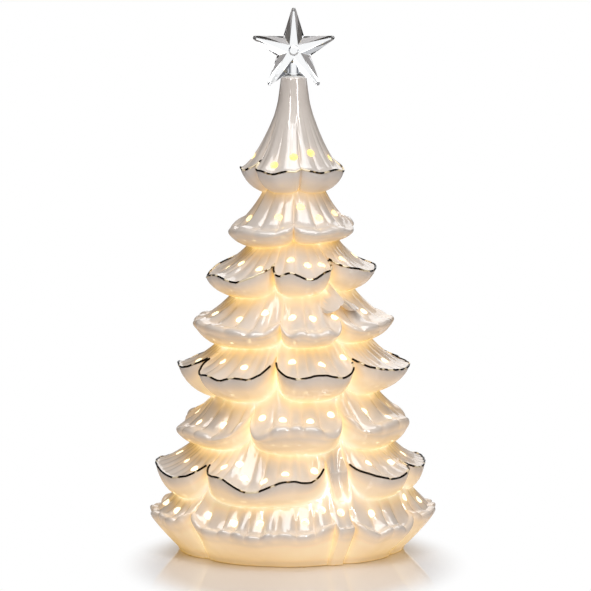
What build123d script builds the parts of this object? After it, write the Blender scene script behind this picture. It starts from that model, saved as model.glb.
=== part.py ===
# Light-up glazed porcelain fir tree with a clear star, millimetres.
# +Z is up, the tree's front faces -Y, and the origin is the middle of the foot on the table.
import math
import os
from collections import namedtuple

from build123d import *

# Porcelain shell
WALL = 3.2
PIERCED_R = 2.4
VALLEY_SHARE = 0.12
NECK_LIFT = 11.0
LOBE_POWER = 0.6
RING_POINTS = 120
LINING_POINTS = 60
NECK_TOP_Z = 284.0
NECK_TOP_R = 7.8
NECK_MID_Z = 270.3
NECK_MID_R = 9.4
FOOT_R = 68.5
FOOT_EDGE = 2.5
FLOOR_T = 5.0
OPENING_R = 46.0
RECESS_DEPTH = 3.5
BORE_DEPTH = 14.0

# Lamp unit that closes the foot
FLANGE_R = 50.0
FLANGE_GAP = 0.3
RECESS_R = FLANGE_R + FLANGE_GAP
FLANGE_Z = 0.5
SEAL_T = 0.8
SEAL_INNER_R = OPENING_R + 0.2
FLANGE_TOP = RECESS_DEPTH - SEAL_T
TUB_X = 30.0
TUB_Y = 25.0
TUB_WALL = 1.8
TUB_CEILING = 18.5
ROOF_TOP = TUB_CEILING + TUB_WALL
SCOOP_R = 6.0
SCOOP_DEPTH = 1.2

# Battery door
DOOR_GAP = 0.4
DOOR_T = 2.0
BARREL_R = 1.8
PIN_R = 1.0
PIN_HOLE_R = 1.15
PIN_LENGTH = 1.1
HINGE_Y = -TUB_Y + DOOR_GAP + BARREL_R
HINGE_Z = FLANGE_Z + BARREL_R
RIB_GAP = 0.1

# Cells and contacts
CELL_R = 7.25
CELL_LENGTH = 50.5
BUTTON_R = 2.75
BUTTON_LENGTH = 1.0
CELL_PITCH = 15.5
CELL_Z = 10.25
PLATE_T = 0.4
PLATE_SIZE = 12.0
TAB_WIDTH = 3.0
LEAF_T = 0.3
LEAF_WIDTH = 6.0

# Boards
BOARD_T = 1.6
BOARD_X = 32.0
BOARD_Y = 24.0
POST_X = 27.0
POST_Y = 20.0
POST_R = 2.6
POST_HEIGHT = 4.0
BOARD_Z = ROOF_TOP + POST_HEIGHT
BOARD_TOP = BOARD_Z + BOARD_T
PILOT_R = 0.85
SCREW_R = 0.8
SCREW_HEAD_R = 1.9
SCREW_HEAD_T = 1.3
SCREW_HOLE_R = 1.1
MAST_HALF = 8.0
MAST_TOP = 205.0
MAST_SLOT_GAP = 0.05
LED_LONG = 3.5
LED_SHORT = 2.8
LED_T = 0.8

# Slide switch
SWITCH_Y = -38.0
SWITCH_TRAVEL = 4.0
SWITCH_LONG = 13.0
SWITCH_WIDE = 6.4
SWITCH_HEIGHT = 4.7
SWITCH_METAL = 0.4
KNOB_LONG = 3.0
KNOB_WIDE = 2.4
SLOT_GAP = 0.4
LEAD_R = 0.65

# Star and its bush
STAR_Z = 299.8
STAR_R = 25.6
STAR_INNER_R = 10.4
STAR_FACE_R = 24.0
STAR_FACE_INNER_R = 4.2
STAR_HALF_T = 5.2
STAR_GIRDLE = 1.0
PEG_R = 4.0
PEG_GAP = 0.05
BUSH_R = 5.15
BUSH_GAP = 0.05
BORE_R = BUSH_R + BUSH_GAP
BUSH_DEPTH = 12.0
BUSH_FLANGE_R = 6.4
BUSH_FLANGE_T = 0.8
COLLAR_R = 5.6
COLLAR_T = 1.5

# Each tier starts at a neck and flares to a rim; tilt lifts its right side.
# A bough starts at an azimuth in degrees (0 is the front, 90 the right) with a valley
# of some depth, reaches out to a radius, and hangs its rim at a height with a wave on it.
# Lights are pierced holes: azimuth and place between neck (0) and rim (1).
Tier = namedtuple("Tier", "neck_z neck_r tilt boughs lights")
Bough = namedtuple("Bough", "start depth reach rim_z waves swing phase")

TIERS = [
    Tier(258.7, 12.7, 0.0, [
        Bough(-114, 0.6, 32.0, 229.5, 2, 0.8, 0),
        Bough(-57, 0.5, 31.5, 228.5, 2, 0.8, 180),
        Bough(9, 0.25, 32.0, 229.0, 2, 0.8, 0),
        Bough(93, 0.6, 31.5, 229.0, 2, 0.8, 0),
        Bough(144, 0.4, 31.5, 228.0, 2, 0.8, 0),
        Bough(195, 0.5, 31.5, 229.0, 2, 0.8, 0),
    ], [(-85, 0.6), (-27, 0.68), (0, 0.55), (28, 0.46), (65, 0.58),
        (112, 0.55), (160, 0.6), (182, 0.5), (222, 0.6)]),
    Tier(215.5, 18.6, 0.0, [
        Bough(-99, 0.6, 41.0, 192.5, 2, 0.8, 0),
        Bough(0, 0.35, 41.0, 193.5, 2, 0.8, 0),
        Bough(81, 0.6, 36.5, 197.0, 2, 0.8, 0),
        Bough(144, 0.5, 40.0, 194.0, 2, 0.8, 0),
        Bough(201, 0.5, 40.0, 194.0, 2, 0.8, 0),
    ], [(-69, 0.47), (-19, 0.42), (10, 0.28), (31, 0.47), (64, 0.4),
        (98, 0.45), (122, 0.5), (160, 0.4), (184, 0.5), (218, 0.45), (244, 0.5)]),
    Tier(184.5, 25.5, 2.2, [
        Bough(-105, 0.7, 53.5, 166.0, 2, 1.6, 0),
        Bough(-18, 0.65, 50.0, 169.0, 2, 2.0, 150),
        Bough(36, 0.9, 50.0, 171.5, 1, 2.0, 0),
        Bough(102, 0.7, 50.0, 169.0, 2, 1.0, 0),
        Bough(150, 0.7, 50.0, 168.0, 2, 1.0, 0),
        Bough(204, 0.7, 51.0, 171.0, 2, 1.0, 0),
    ], [(-82, 0.53), (-58, 0.4), (-32, 0.53), (-3, 0.42), (13, 0.45), (25, 0.6), (52, 0.47), (82, 0.5),
        (115, 0.45), (138, 0.5), (165, 0.4), (190, 0.5), (220, 0.45), (240, 0.5)]),
    Tier(155.0, 35.5, 2.5, [
        Bough(-93, 0.35, 62.5, 137.0, 0.5, 2.5, 0),
        Bough(-9, 0.45, 62.0, 135.5, 3, 0.8, 0),
        Bough(33, 0.55, 61.5, 139.0, 0.5, -2.0, 0),
        Bough(96, 0.6, 61.0, 137.0, 2, 0.8, 0),
        Bough(156, 0.7, 61.0, 136.0, 2, 0.8, 0),
        Bough(210, 0.7, 63.0, 138.0, 2, 0.8, 0),
    ], [(-76, 0.5), (-43, 0.45), (-23, 0.35), (-1, 0.38), (14, 0.4), (31, 0.62), (62, 0.45), (84, 0.5),
        (112, 0.45), (138, 0.4), (170, 0.5), (194, 0.45), (224, 0.4), (250, 0.5)]),
    Tier(125.5, 45.0, 2.0, [
        Bough(-117, 0.8, 69.5, 112.0, 2, 1.0, 0),
        Bough(-66, 0.9, 70.0, 109.5, 3, 1.0, 0),
        Bough(-12, 1.0, 70.0, 112.0, 2, 1.2, 0),
        Bough(39, 1.0, 71.0, 113.0, 1, 1.0, 0),
        Bough(96, 0.8, 69.0, 112.0, 2, 1.0, 0),
        Bough(150, 0.8, 69.0, 110.0, 2, 1.0, 0),
        Bough(201, 0.8, 69.0, 111.0, 2, 1.0, 0),
    ], [(-102, 0.45), (-80, 0.55), (-52, 0.35), (-31, 0.47), (-1, 0.33), (17, 0.45), (34, 0.47), (67, 0.53),
        (88, 0.4), (114, 0.5), (134, 0.4), (164, 0.5), (186, 0.45), (214, 0.4), (232, 0.5)]),
    Tier(94.5, 49.5, 2.0, [
        Bough(-96, 0.8, 72.5, 74.5, 2, 1.0, 0),
        Bough(-27, 0.9, 72.0, 78.5, 1, -3.5, 0),
        Bough(30, 0.9, 71.5, 80.0, 2, 1.0, 0),
        Bough(96, 0.6, 69.0, 82.0, 2, 1.0, 0),
        Bough(150, 0.8, 70.0, 77.0, 2, 1.0, 0),
        Bough(204, 0.8, 70.0, 79.0, 2, 1.0, 0),
    ], [(-84, 0.4), (-63, 0.62), (-44, 0.47), (-19, 0.4), (-6, 0.53), (9, 0.53), (23, 0.35), (48, 0.35), (63, 0.65),
        (84, 0.4), (112, 0.5), (134, 0.4), (164, 0.5), (190, 0.4), (220, 0.5), (246, 0.45)]),
    Tier(64.5, 58.0, 0.0, [
        Bough(-102, 0.8, 83.5, 51.5, 0.5, 4.0, 0),
        Bough(-48, 0.9, 81.0, 49.0, 2, -3.5, 40),
        Bough(18, 1.0, 60.5, 54.0, 1, 0.0, 0),
        Bough(30, 1.0, 81.0, 52.5, 1, 2.0, 0),
        Bough(66, 0.55, 79.0, 53.0, 0.5, -2.0, 0),
        Bough(114, 0.8, 79.0, 51.0, 2, 1.0, 0),
        Bough(159, 0.8, 79.0, 50.0, 2, 1.0, 0),
        Bough(207, 0.8, 79.0, 51.0, 2, 1.0, 0),
    ], [(-86, 0.45), (-69, 0.4), (-57, 0.55), (-37, 0.5), (-29, 0.4), (-24, 0.6), (-14, 0.6), (-4, 0.55), (11, 0.5),
        (42, 0.35), (58, 0.45), (84, 0.4), (102, 0.5), (128, 0.45), (146, 0.5), (174, 0.4), (194, 0.5),
        (220, 0.45), (244, 0.5)]),
    Tier(36.0, 71.0, 2.0, [
        Bough(-105, 0.8, 87.0, 23.5, 3, 1.0, 0),
        Bough(-51, 0.8, 86.5, 20.0, 3, 1.0, 0),
        Bough(18, 0.5, 83.0, 23.0, 1, 0.5, 0),
        Bough(27, 0.6, 85.0, 19.5, 2, 1.2, 0),
        Bough(63, 0.6, 86.0, 24.5, 2, 0.8, 0),
        Bough(111, 0.8, 86.0, 22.0, 3, 1.0, 0),
        Bough(159, 0.8, 86.0, 21.0, 3, 1.0, 0),
        Bough(207, 0.8, 86.0, 22.0, 3, 1.0, 0),
    ], [(-86, 0.4), (-65, 0.4), (-42, 0.4), (-27, 0.42), (-15, 0.35), (5, 0.38), (14, 0.2), (22, 0.2),
        (38, 0.25), (66, 0.3), (80, 0.35), (96, 0.4), (122, 0.4), (146, 0.35), (172, 0.4), (196, 0.35),
        (220, 0.4), (242, 0.35)]),
]
LAST = len(TIERS)

# One small bough fills a valley high on the fourth tier.
SMALL_BOUGH_TIER = 3
SMALL_BOUGH_AT = 38.0
SMALL_BOUGH_HALF = 15.0
SMALL_BOUGH_REACH = 12.0
SMALL_BOUGH_DROP = 5.0
SMALL_BOUGH_PEAK = 0.21
SMALL_BOUGH_END = 0.4
SMALL_BOUGH_STEPS = (0.0, 0.1, 0.21, 0.4, 0.68, 1.0)

UPPER_STEPS = (0.0, 0.16, 0.32, 0.5, 0.75, 1.0)
UNDER_STEPS = (0.0, 0.12, 0.35, 0.65, 1.0)
LINING_UPPER_STEPS = (0.0, 0.35, 0.7, 1.0)
LINING_UNDER_STEPS = (0.0, 0.25, 0.6, 1.0)
AZIMUTHS = [360 * i / RING_POINTS for i in range(RING_POINTS)]


# Shape of the boughs

def ease(u):
    return u * u * (3 - 2 * u)


def bough_at(tier, azimuth):
    for index, bough in enumerate(tier.boughs):
        after = tier.boughs[(index + 1) % len(tier.boughs)]
        width = (after.start - bough.start) % 360
        into = (azimuth - bough.start) % 360
        if into < width:
            return index, into / width
    raise ValueError(azimuth)


def eased(tier, index, u, field):
    own = getattr(tier.boughs[index], field)
    before = getattr(tier.boughs[index - 1], field)
    after = getattr(tier.boughs[(index + 1) % len(tier.boughs)], field)
    if u < 0.3:
        middle = (before + own) / 2
        return middle + (own - middle) * ease(u / 0.3)
    if u > 0.7:
        middle = (after + own) / 2
        return middle + (own - middle) * ease((1 - u) / 0.3)
    return own


def fullness(tier, azimuth):
    index, u = bough_at(tier, azimuth)
    depth = tier.boughs[index].depth
    after = tier.boughs[(index + 1) % len(tier.boughs)]
    depth += (after.depth - depth) * ease(u)
    lobe = (1 - abs(2 * u - 1) ** 3.4) ** LOBE_POWER
    return 1 - (1 - lobe) * depth


def rim(k, azimuth):
    tier = TIERS[k]
    index, u = bough_at(tier, azimuth)
    bough = tier.boughs[index]
    full = fullness(tier, azimuth)
    reach = eased(tier, index, u, "reach")
    rim_z = eased(tier, index, u, "rim_z")
    valley_r = tier.neck_r + VALLEY_SHARE * (reach - tier.neck_r)
    rise = min(14.0, 0.8 * (tier.neck_z - rim_z))
    wave = bough.swing * math.cos(2 * math.pi * bough.waves * u + math.radians(bough.phase))
    wave *= min(1.0, 4 * u, 4 * (1 - u))
    return valley_r + (reach - valley_r) * full, rim_z + rise * (1 - full) ** 1.2 + wave


def neck(k, azimuth):
    if k == 0:
        return TIERS[0].neck_r, TIERS[0].neck_z
    hollow = 1 - fullness(TIERS[k - 1], azimuth)
    side = math.sin(math.radians(azimuth))
    if k == LAST:
        return FOOT_R - 6 * hollow - 1.5 * side, FOOT_EDGE
    lift = NECK_LIFT * hollow
    return TIERS[k].neck_r - 0.4 * lift, TIERS[k].neck_z + lift + TIERS[k].tilt * side


def small_bough(k, azimuth, t):
    off = (azimuth - SMALL_BOUGH_AT + 180) % 360 - 180
    if k != SMALL_BOUGH_TIER or t >= SMALL_BOUGH_END:
        return 0.0
    half = SMALL_BOUGH_HALF * (0.6 + 0.4 * min(1.0, t / SMALL_BOUGH_PEAK))
    lobe = max(0.0, 1 - abs(off / half) ** 2.4) ** 0.7
    if t < SMALL_BOUGH_PEAK:
        return lobe * t / SMALL_BOUGH_PEAK
    return lobe * ((SMALL_BOUGH_END - t) / (SMALL_BOUGH_END - SMALL_BOUGH_PEAK)) ** 0.5


def upper(k, azimuth, t, outside=True):
    start_r, start_z = neck(k, azimuth)
    end_r, end_z = rim(k, azimuth)
    extra = small_bough(k, azimuth, t) if outside else 0.0
    r = start_r + (end_r - start_r) * t + SMALL_BOUGH_REACH * extra
    z = start_z - (start_z - end_z) * (1 - (1 - t) ** 1.6) - SMALL_BOUGH_DROP * extra
    return r, z


def under(k, azimuth, t):
    start_r, start_z = rim(k, azimuth)
    end_r, end_z = neck(k + 1, azimuth)
    across, down = t, t ** 0.85
    if k + 1 < LAST:
        turn = math.pi / 2 * t
        across = (t + 1 - math.cos(turn)) / 2
        down = (t ** 0.65 + math.sin(turn)) / 2
    return start_r - (start_r - end_r) * across, start_z - (start_z - end_z) * down


def ring(profile):
    points = []
    for i, (r, z) in enumerate(profile):
        angle = 2 * math.pi * i / len(profile)
        points.append((r * math.sin(angle), -r * math.cos(angle), z))
    knots = [i / len(profile) for i in range(len(profile) + 1)]
    return Wire([Edge.make_spline(points, periodic=True, parameters=knots)])


def round_ring(r, z, count=RING_POINTS):
    return ring([(r, z)] * count)


# The lining is the same shape moved in by the wall: a shift of each corner of the profile,
# eased in between, and a sideways inset that keeps the wall at the flanks of the valleys.
def corner_shift(before, corner, after):
    first = (corner[0] - before[0], corner[1] - before[1])
    second = (after[0] - corner[0], after[1] - corner[1])
    first_in = (first[1] / math.hypot(*first), -first[0] / math.hypot(*first))
    second_in = (second[1] / math.hypot(*second), -second[0] / math.hypot(*second))
    agree = max(0.35, 1 + first_in[0] * second_in[0] + first_in[1] * second_in[1])
    return WALL * (first_in[0] + second_in[0]) / agree, WALL * (first_in[1] + second_in[1]) / agree


def neck_shift(k, azimuth):
    if k in (0, LAST):
        return -1.15 * WALL, 0.0
    before = under(k - 1, azimuth, 0.7)
    return corner_shift(before, neck(k, azimuth), upper(k, azimuth, 0.3, False))


def rim_shift(k, azimuth):
    before = upper(k, azimuth, 0.7, False)
    return corner_shift(before, rim(k, azimuth), under(k, azimuth, 0.3))


def lining(profile, shifts):
    points = []
    reach = RING_POINTS // 10
    for i in range(RING_POINTS):
        across = max(WALL, -shifts[i][0])
        least = profile[i][0] - across
        for step in range(-reach, reach + 1):
            angle = math.radians(360 * step / RING_POINTS)
            r = profile[(i + step) % RING_POINTS][0]
            share = r * math.sin(angle) / (1.2 * WALL)
            if abs(share) < 1:
                least = min(least, r * math.cos(angle) - across * math.sqrt(1 - share ** 2))
        points.append((least, profile[i][1] + shifts[i][1]))
    return points


# A lining ring has fewer points, each set in as far as the deepest spot beside it.
def lining_ring(profile, shifts):
    points = lining(profile, shifts)
    skip = RING_POINTS // LINING_POINTS
    kept = []
    for i in range(0, RING_POINTS, skip):
        beside = [points[(i + step) % RING_POINTS][0] for step in range(1 - skip, skip)]
        kept.append((min(beside), points[i][1]))
    return ring(kept)


def eased_shifts(first, second, t):
    return [(a[0] + (b[0] - a[0]) * t, a[1] + (b[1] - a[1]) * t) for a, b in zip(first, second)]


def loft_faces(rings):
    return list(Shell.make_loft(rings, ruled=False).faces())


def cylinder_side(r, low, high):
    tube = Solid.make_cylinder(r, high - low, Plane((0, 0, low)))
    return tube.faces().filter_by(GeomType.CYLINDER)[0]


def circle(r, z):
    return Wire.make_circle(r, Plane((0, 0, z)))


def save(shape, node):
    export_step(shape, os.path.join("parts", node + ".step"))


def box(x0, x1, y0, y1, z0, z1):
    return Pos((x0 + x1) / 2, (y0 + y1) / 2, (z0 + z1) / 2) * Box(x1 - x0, y1 - y0, z1 - z0)


def rod(r, x, y, z0, z1):
    return Pos(x, y, (z0 + z1) / 2) * Cylinder(r, z1 - z0)


def rod_along_x(r, x0, x1, y, z):
    return Pos((x0 + x1) / 2, y, z) * Rot(0, 90, 0) * Cylinder(r, x1 - x0)


os.makedirs("parts", exist_ok=True)

# Porcelain shell: outside from the neck down to the foot

outside = [round_ring(NECK_TOP_R - 0.8, NECK_TOP_Z), round_ring(NECK_TOP_R - 0.25, NECK_TOP_Z - 0.3)]
outside.append(round_ring(NECK_TOP_R, NECK_TOP_Z - 1.2))
body_faces = loft_faces(outside)
collar_rings = [outside[-1]]
collar_rings.append(round_ring(8.5, 277.0))
collar_rings.append(round_ring(NECK_MID_R, NECK_MID_Z))
collar_rings.append(round_ring(10.8, 264.5))
collar_rings.append(ring([neck(0, azimuth) for azimuth in AZIMUTHS]))
body_faces += loft_faces(collar_rings)
for k in range(LAST):
    upper_steps = SMALL_BOUGH_STEPS if k == SMALL_BOUGH_TIER else UPPER_STEPS
    for surface, steps in ((upper, upper_steps), (under, UNDER_STEPS)):
        rings = []
        for t in steps:
            rings.append(ring([surface(k, azimuth, t) for azimuth in AZIMUTHS]))
        body_faces += loft_faces(rings)
foot_profile = [neck(LAST, azimuth) for azimuth in AZIMUTHS]
foot_rings = [ring(foot_profile)]
foot_rings.append(ring([(r - 0.6, 0.7) for r, z in foot_profile]))
foot_rings.append(ring([(r - 2.2, 0.0) for r, z in foot_profile]))
body_faces += loft_faces(foot_rings)

# Porcelain shell: lining, neck bore and the stepped opening in the foot

BORE_END = NECK_TOP_Z - BORE_DEPTH
body_faces.append(Face(round_ring(NECK_TOP_R - 0.8, NECK_TOP_Z), [circle(BORE_R, NECK_TOP_Z)]))
body_faces.append(cylinder_side(BORE_R, BORE_END, NECK_TOP_Z))
throat = [round_ring(BORE_R + 0.7, BORE_END, LINING_POINTS), round_ring(7.2, 264.5, LINING_POINTS)]
neck_shifts = [neck_shift(0, azimuth) for azimuth in AZIMUTHS]
throat.append(lining_ring([neck(0, azimuth) for azimuth in AZIMUTHS], neck_shifts))
body_faces.append(Face(throat[0], [circle(BORE_R, BORE_END)]))
body_faces += loft_faces(throat)
for k in range(LAST):
    rim_shifts = [rim_shift(k, azimuth) for azimuth in AZIMUTHS]
    rings = []
    for t in LINING_UPPER_STEPS:
        profile = [upper(k, azimuth, t, False) for azimuth in AZIMUTHS]
        rings.append(lining_ring(profile, eased_shifts(neck_shifts, rim_shifts, t)))
    body_faces += loft_faces(rings)
    neck_shifts = [neck_shift(k + 1, azimuth) for azimuth in AZIMUTHS]
    rings = []
    for t in LINING_UNDER_STEPS:
        profile = [under(k, azimuth, t) for azimuth in AZIMUTHS]
        if k + 1 == LAST:
            profile = [(r, z + (FLOOR_T - FOOT_EDGE) * t) for r, z in profile]
        rings.append(lining_ring(profile, eased_shifts(rim_shifts, neck_shifts, t)))
    body_faces += loft_faces(rings)
body_faces.append(Face(rings[-1], [circle(OPENING_R, FLOOR_T)]))
body_faces.append(cylinder_side(OPENING_R, RECESS_DEPTH, FLOOR_T))
body_faces.append(Face(circle(RECESS_R, RECESS_DEPTH), [circle(OPENING_R, RECESS_DEPTH)]))
body_faces.append(cylinder_side(RECESS_R, 0, RECESS_DEPTH))
body_faces.append(Face(foot_rings[-1], [circle(RECESS_R, 0)]))
tree_body = Solid(Shell(body_faces))

# Pierced holes, square to the surface

holes = []
for k, tier in enumerate(TIERS):
    for azimuth, t in tier.lights:
        angle = math.radians(azimuth)
        outward = Vector(math.sin(angle), -math.cos(angle), 0)
        r, z = upper(k, azimuth, t)
        r_above, z_above = upper(k, azimuth, t - 0.05)
        r_below, z_below = upper(k, azimuth, t + 0.05)
        normal = outward * (z_above - z_below) + Vector(0, 0, r_below - r_above)
        normal = normal.normalized()
        start = outward * r + Vector(0, 0, z) - normal * 8
        holes.append(Solid.make_cylinder(PIERCED_R, 13, Plane(start, z_dir=normal)))
tree_body = tree_body.cut(*holes)
save(tree_body, "tree_body")

# Star bush: a soft sleeve in the neck bore with a flange on the neck's top

bush = rod(BUSH_R, 0, 0, NECK_TOP_Z - BUSH_DEPTH, NECK_TOP_Z)
bush += rod(BUSH_FLANGE_R, 0, 0, NECK_TOP_Z, NECK_TOP_Z + BUSH_FLANGE_T)
bush -= rod(PEG_R + PEG_GAP, 0, 0, NECK_TOP_Z - BUSH_DEPTH - 1, NECK_TOP_Z + BUSH_FLANGE_T + 1)
save(bush, "star_bush")

# Star topper: faceted alike on both faces, moulded in one with its peg and collar

COLLAR_Z = NECK_TOP_Z + BUSH_FLANGE_T


def star_point(r, turn, y):
    angle = math.radians(turn)
    return Vector(r * math.sin(angle), y, STAR_Z + r * math.cos(angle))


def flat(*points):
    return Face(Wire.make_polygon(points))


star_faces = []
for arm in range(5):
    turn = 72 * arm
    for half in (-36, 36):
        edge = [star_point(STAR_R, turn, -STAR_GIRDLE), star_point(STAR_INNER_R, turn + half, -STAR_GIRDLE)]
        edge += [star_point(STAR_INNER_R, turn + half, STAR_GIRDLE), star_point(STAR_R, turn, STAR_GIRDLE)]
        star_faces.append(flat(*edge))
for side in (-1, 1):
    outline = []
    for arm in range(5):
        turn = 72 * arm
        tip = star_point(STAR_R, turn, side * STAR_GIRDLE)
        face_tip = star_point(STAR_FACE_R, turn, side * STAR_HALF_T)
        for half in (-36, 36):
            notch = star_point(STAR_INNER_R, turn + half, side * STAR_GIRDLE)
            face_notch = star_point(STAR_FACE_INNER_R, turn + half, side * STAR_HALF_T)
            star_faces.append(flat(tip, notch, face_notch))
            star_faces.append(flat(tip, face_notch, face_tip))
        outline += [face_tip, star_point(STAR_FACE_INNER_R, turn + 36, side * STAR_HALF_T)]
    star_faces.append(flat(*outline))
star = Part(Solid(Shell(star_faces)).wrapped)
peg_end = NECK_TOP_Z - BUSH_DEPTH + 1.5
star += rod(PEG_R, 0, 0, peg_end, STAR_Z - STAR_INNER_R + 3)
star += rod(COLLAR_R, 0, 0, COLLAR_Z, COLLAR_Z + COLLAR_T)
save(star, "star_topper")

# Seal ring between the porcelain and the lamp unit

seal = rod(FLANGE_R, 0, 0, FLANGE_TOP, RECESS_DEPTH)
seal -= rod(SEAL_INNER_R, 0, 0, FLANGE_TOP - 1, RECESS_DEPTH + 1)
save(seal, "seal_ring")

# Lamp base: flange, battery tub, board posts, switch slot

base = rod(FLANGE_R, 0, 0, FLANGE_Z, FLANGE_TOP)
tub_outer_x = TUB_X + TUB_WALL
tub_outer_y = TUB_Y + TUB_WALL
base += box(-tub_outer_x, tub_outer_x, -tub_outer_y, tub_outer_y, FLANGE_TOP, ROOF_TOP)
base -= box(-TUB_X, TUB_X, -TUB_Y, TUB_Y, FLANGE_Z - 1, TUB_CEILING)
for x in (-POST_X, POST_X):
    for y in (-POST_Y, POST_Y):
        base += rod(POST_R, x, y, ROOF_TOP, BOARD_Z)
        base -= rod(PILOT_R, x, y, ROOF_TOP + 0.5, BOARD_Z + 1)
tab_slot = TAB_WIDTH / 2 + 0.2
for side in (-1, 1):
    tab_x = side * (TUB_X - PLATE_T / 2)
    base -= box(tab_x - 0.5, tab_x + 0.5, -side * CELL_PITCH - tab_slot,
                -side * CELL_PITCH + tab_slot, TUB_CEILING - 1, ROOF_TOP + 1)
    base -= rod_along_x(PIN_HOLE_R, side * (TUB_X + 0.6) - 0.7, side * (TUB_X + 0.6) + 0.7, HINGE_Y, HINGE_Z)
slot_half = (SWITCH_TRAVEL + KNOB_LONG) / 2 + SLOT_GAP
base -= box(-slot_half, slot_half, SWITCH_Y - KNOB_WIDE / 2 - SLOT_GAP,
            SWITCH_Y + KNOB_WIDE / 2 + SLOT_GAP, FLANGE_Z - 1, FLANGE_TOP + 1)
EAR_X = SWITCH_LONG / 2 + 3
for x in (-EAR_X, EAR_X):
    base += rod(0.9, x, SWITCH_Y, FLANGE_TOP, FLANGE_TOP + 1.6)
base -= rod(SCOOP_R, 0, TUB_Y, FLANGE_Z - 1, FLANGE_Z + SCOOP_DEPTH)
save(base, "light_base")

# Battery door: a plate on a hinge barrel with a pin at each end, two ribs under the cells

door_x = TUB_X - DOOR_GAP
door_y = TUB_Y - DOOR_GAP
door = box(-door_x, door_x, HINGE_Y, door_y, FLANGE_Z, FLANGE_Z + DOOR_T)
door += rod_along_x(BARREL_R, -door_x, door_x, HINGE_Y, HINGE_Z)
door += rod_along_x(PIN_R, -door_x - PIN_LENGTH, door_x + PIN_LENGTH, HINGE_Y, HINGE_Z)
for x in (-12, 12):
    door += box(x - 1, x + 1, -CELL_PITCH - 3, CELL_PITCH + 3, FLANGE_Z + DOOR_T, CELL_Z - CELL_R - RIB_GAP)
grip = rod(SCOOP_R - 1.5, 0, door_y, FLANGE_Z - 1, FLANGE_Z + 0.8)
door -= grip
save(door, "battery_door")

# Three cells side by side, turned end for end in turn

PLATE_FACE = TUB_X - PLATE_T
for number in (1, 2, 3):
    way = 1 if number != 2 else -1
    y = (number - 2) * CELL_PITCH
    ends = sorted((way * (PLATE_FACE - BUTTON_LENGTH), way * (PLATE_FACE - CELL_LENGTH)))
    cell = rod_along_x(CELL_R, ends[0], ends[1], y, CELL_Z)
    cell = chamfer(cell.edges().filter_by(GeomType.CIRCLE), 0.5)
    button = sorted((way * (PLATE_FACE - BUTTON_LENGTH), way * PLATE_FACE))
    cell += rod_along_x(BUTTON_R, button[0], button[1], y, CELL_Z)
    save(cell, "aa_cell_" + str(number))

# Contact plates on the tub's end walls; two carry a tab up to the board

PLATE_LOW = CELL_Z - PLATE_SIZE / 2
PLATE_HIGH = CELL_Z + PLATE_SIZE / 2


def contact_plate(side, y0, y1):
    return box(*sorted((side * PLATE_FACE, side * TUB_X)), y0 - PLATE_SIZE / 2, y1 + PLATE_SIZE / 2,
               PLATE_LOW, PLATE_HIGH)


def contact_tab(side, y):
    return box(*sorted((side * PLATE_FACE, side * TUB_X)), y - TAB_WIDTH / 2, y + TAB_WIDTH / 2,
               PLATE_HIGH - 1, BOARD_TOP + 1.5)


save(contact_plate(1, -CELL_PITCH, -CELL_PITCH) + contact_tab(1, -CELL_PITCH), "terminal_plus_plate")
save(contact_plate(-1, CELL_PITCH, CELL_PITCH) + contact_tab(-1, CELL_PITCH), "terminal_minus_plate")
save(contact_plate(-1, -CELL_PITCH, 0), "link_plate_left")
save(contact_plate(1, 0, CELL_PITCH), "link_plate_right")

# Leaf springs from the plates to the flat ends of the cells

LEAF_REACH = 2 * TUB_X - PLATE_T * 2 - CELL_LENGTH
leaves = []
for side, y in ((-1, -CELL_PITCH), (1, 0), (-1, CELL_PITCH)):
    near = side * (PLATE_FACE - LEAF_T / 2)
    far = side * (PLATE_FACE - LEAF_REACH + LEAF_T / 2)
    turn = side * (PLATE_FACE - 2.5)
    path = [(near, CELL_Z + 4), (near, CELL_Z - 4), (far, CELL_Z - 1.5), (far, CELL_Z + 1.5), (turn, CELL_Z + 3)]
    strip = trace(Polyline(*path), LEAF_T)
    leaf = extrude(Plane.XZ * strip, LEAF_WIDTH / 2, both=True)
    leaves.append(Pos(0, y, 0) * leaf)
save(Compound(children=leaves), "contact_springs")

# Control board on the four posts, with its screws and parts

board = box(-BOARD_X, BOARD_X, -BOARD_Y, BOARD_Y, BOARD_Z, BOARD_TOP)
board = chamfer(board.edges().filter_by(Axis.Z), 4)
screws = []
for x in (-POST_X, POST_X):
    for y in (-POST_Y, POST_Y):
        board -= rod(SCREW_HOLE_R, x, y, BOARD_Z - 1, BOARD_TOP + 1)
        shank = rod(SCREW_R, x, y, ROOF_TOP + 0.6, BOARD_TOP)
        head = rod(SCREW_HEAD_R, x, y, BOARD_TOP, BOARD_TOP + SCREW_HEAD_T)
        head -= box(x - 1.4, x + 1.4, y - 0.25, y + 0.25, BOARD_TOP + 0.6, BOARD_TOP + 2)
        head -= box(x - 0.25, x + 0.25, y - 1.4, y + 1.4, BOARD_TOP + 0.6, BOARD_TOP + 2)
        screws.append(shank + head)
for side in (-1, 1):
    tab_x = side * (TUB_X - PLATE_T / 2)
    board -= box(tab_x - 0.4, tab_x + 0.4, -side * CELL_PITCH - TAB_WIDTH / 2 - 0.2,
                 -side * CELL_PITCH + TAB_WIDTH / 2 + 0.2, BOARD_Z - 1, BOARD_TOP + 1)
save(board, "control_board")
save(Compound(children=screws), "board_screws")

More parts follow.
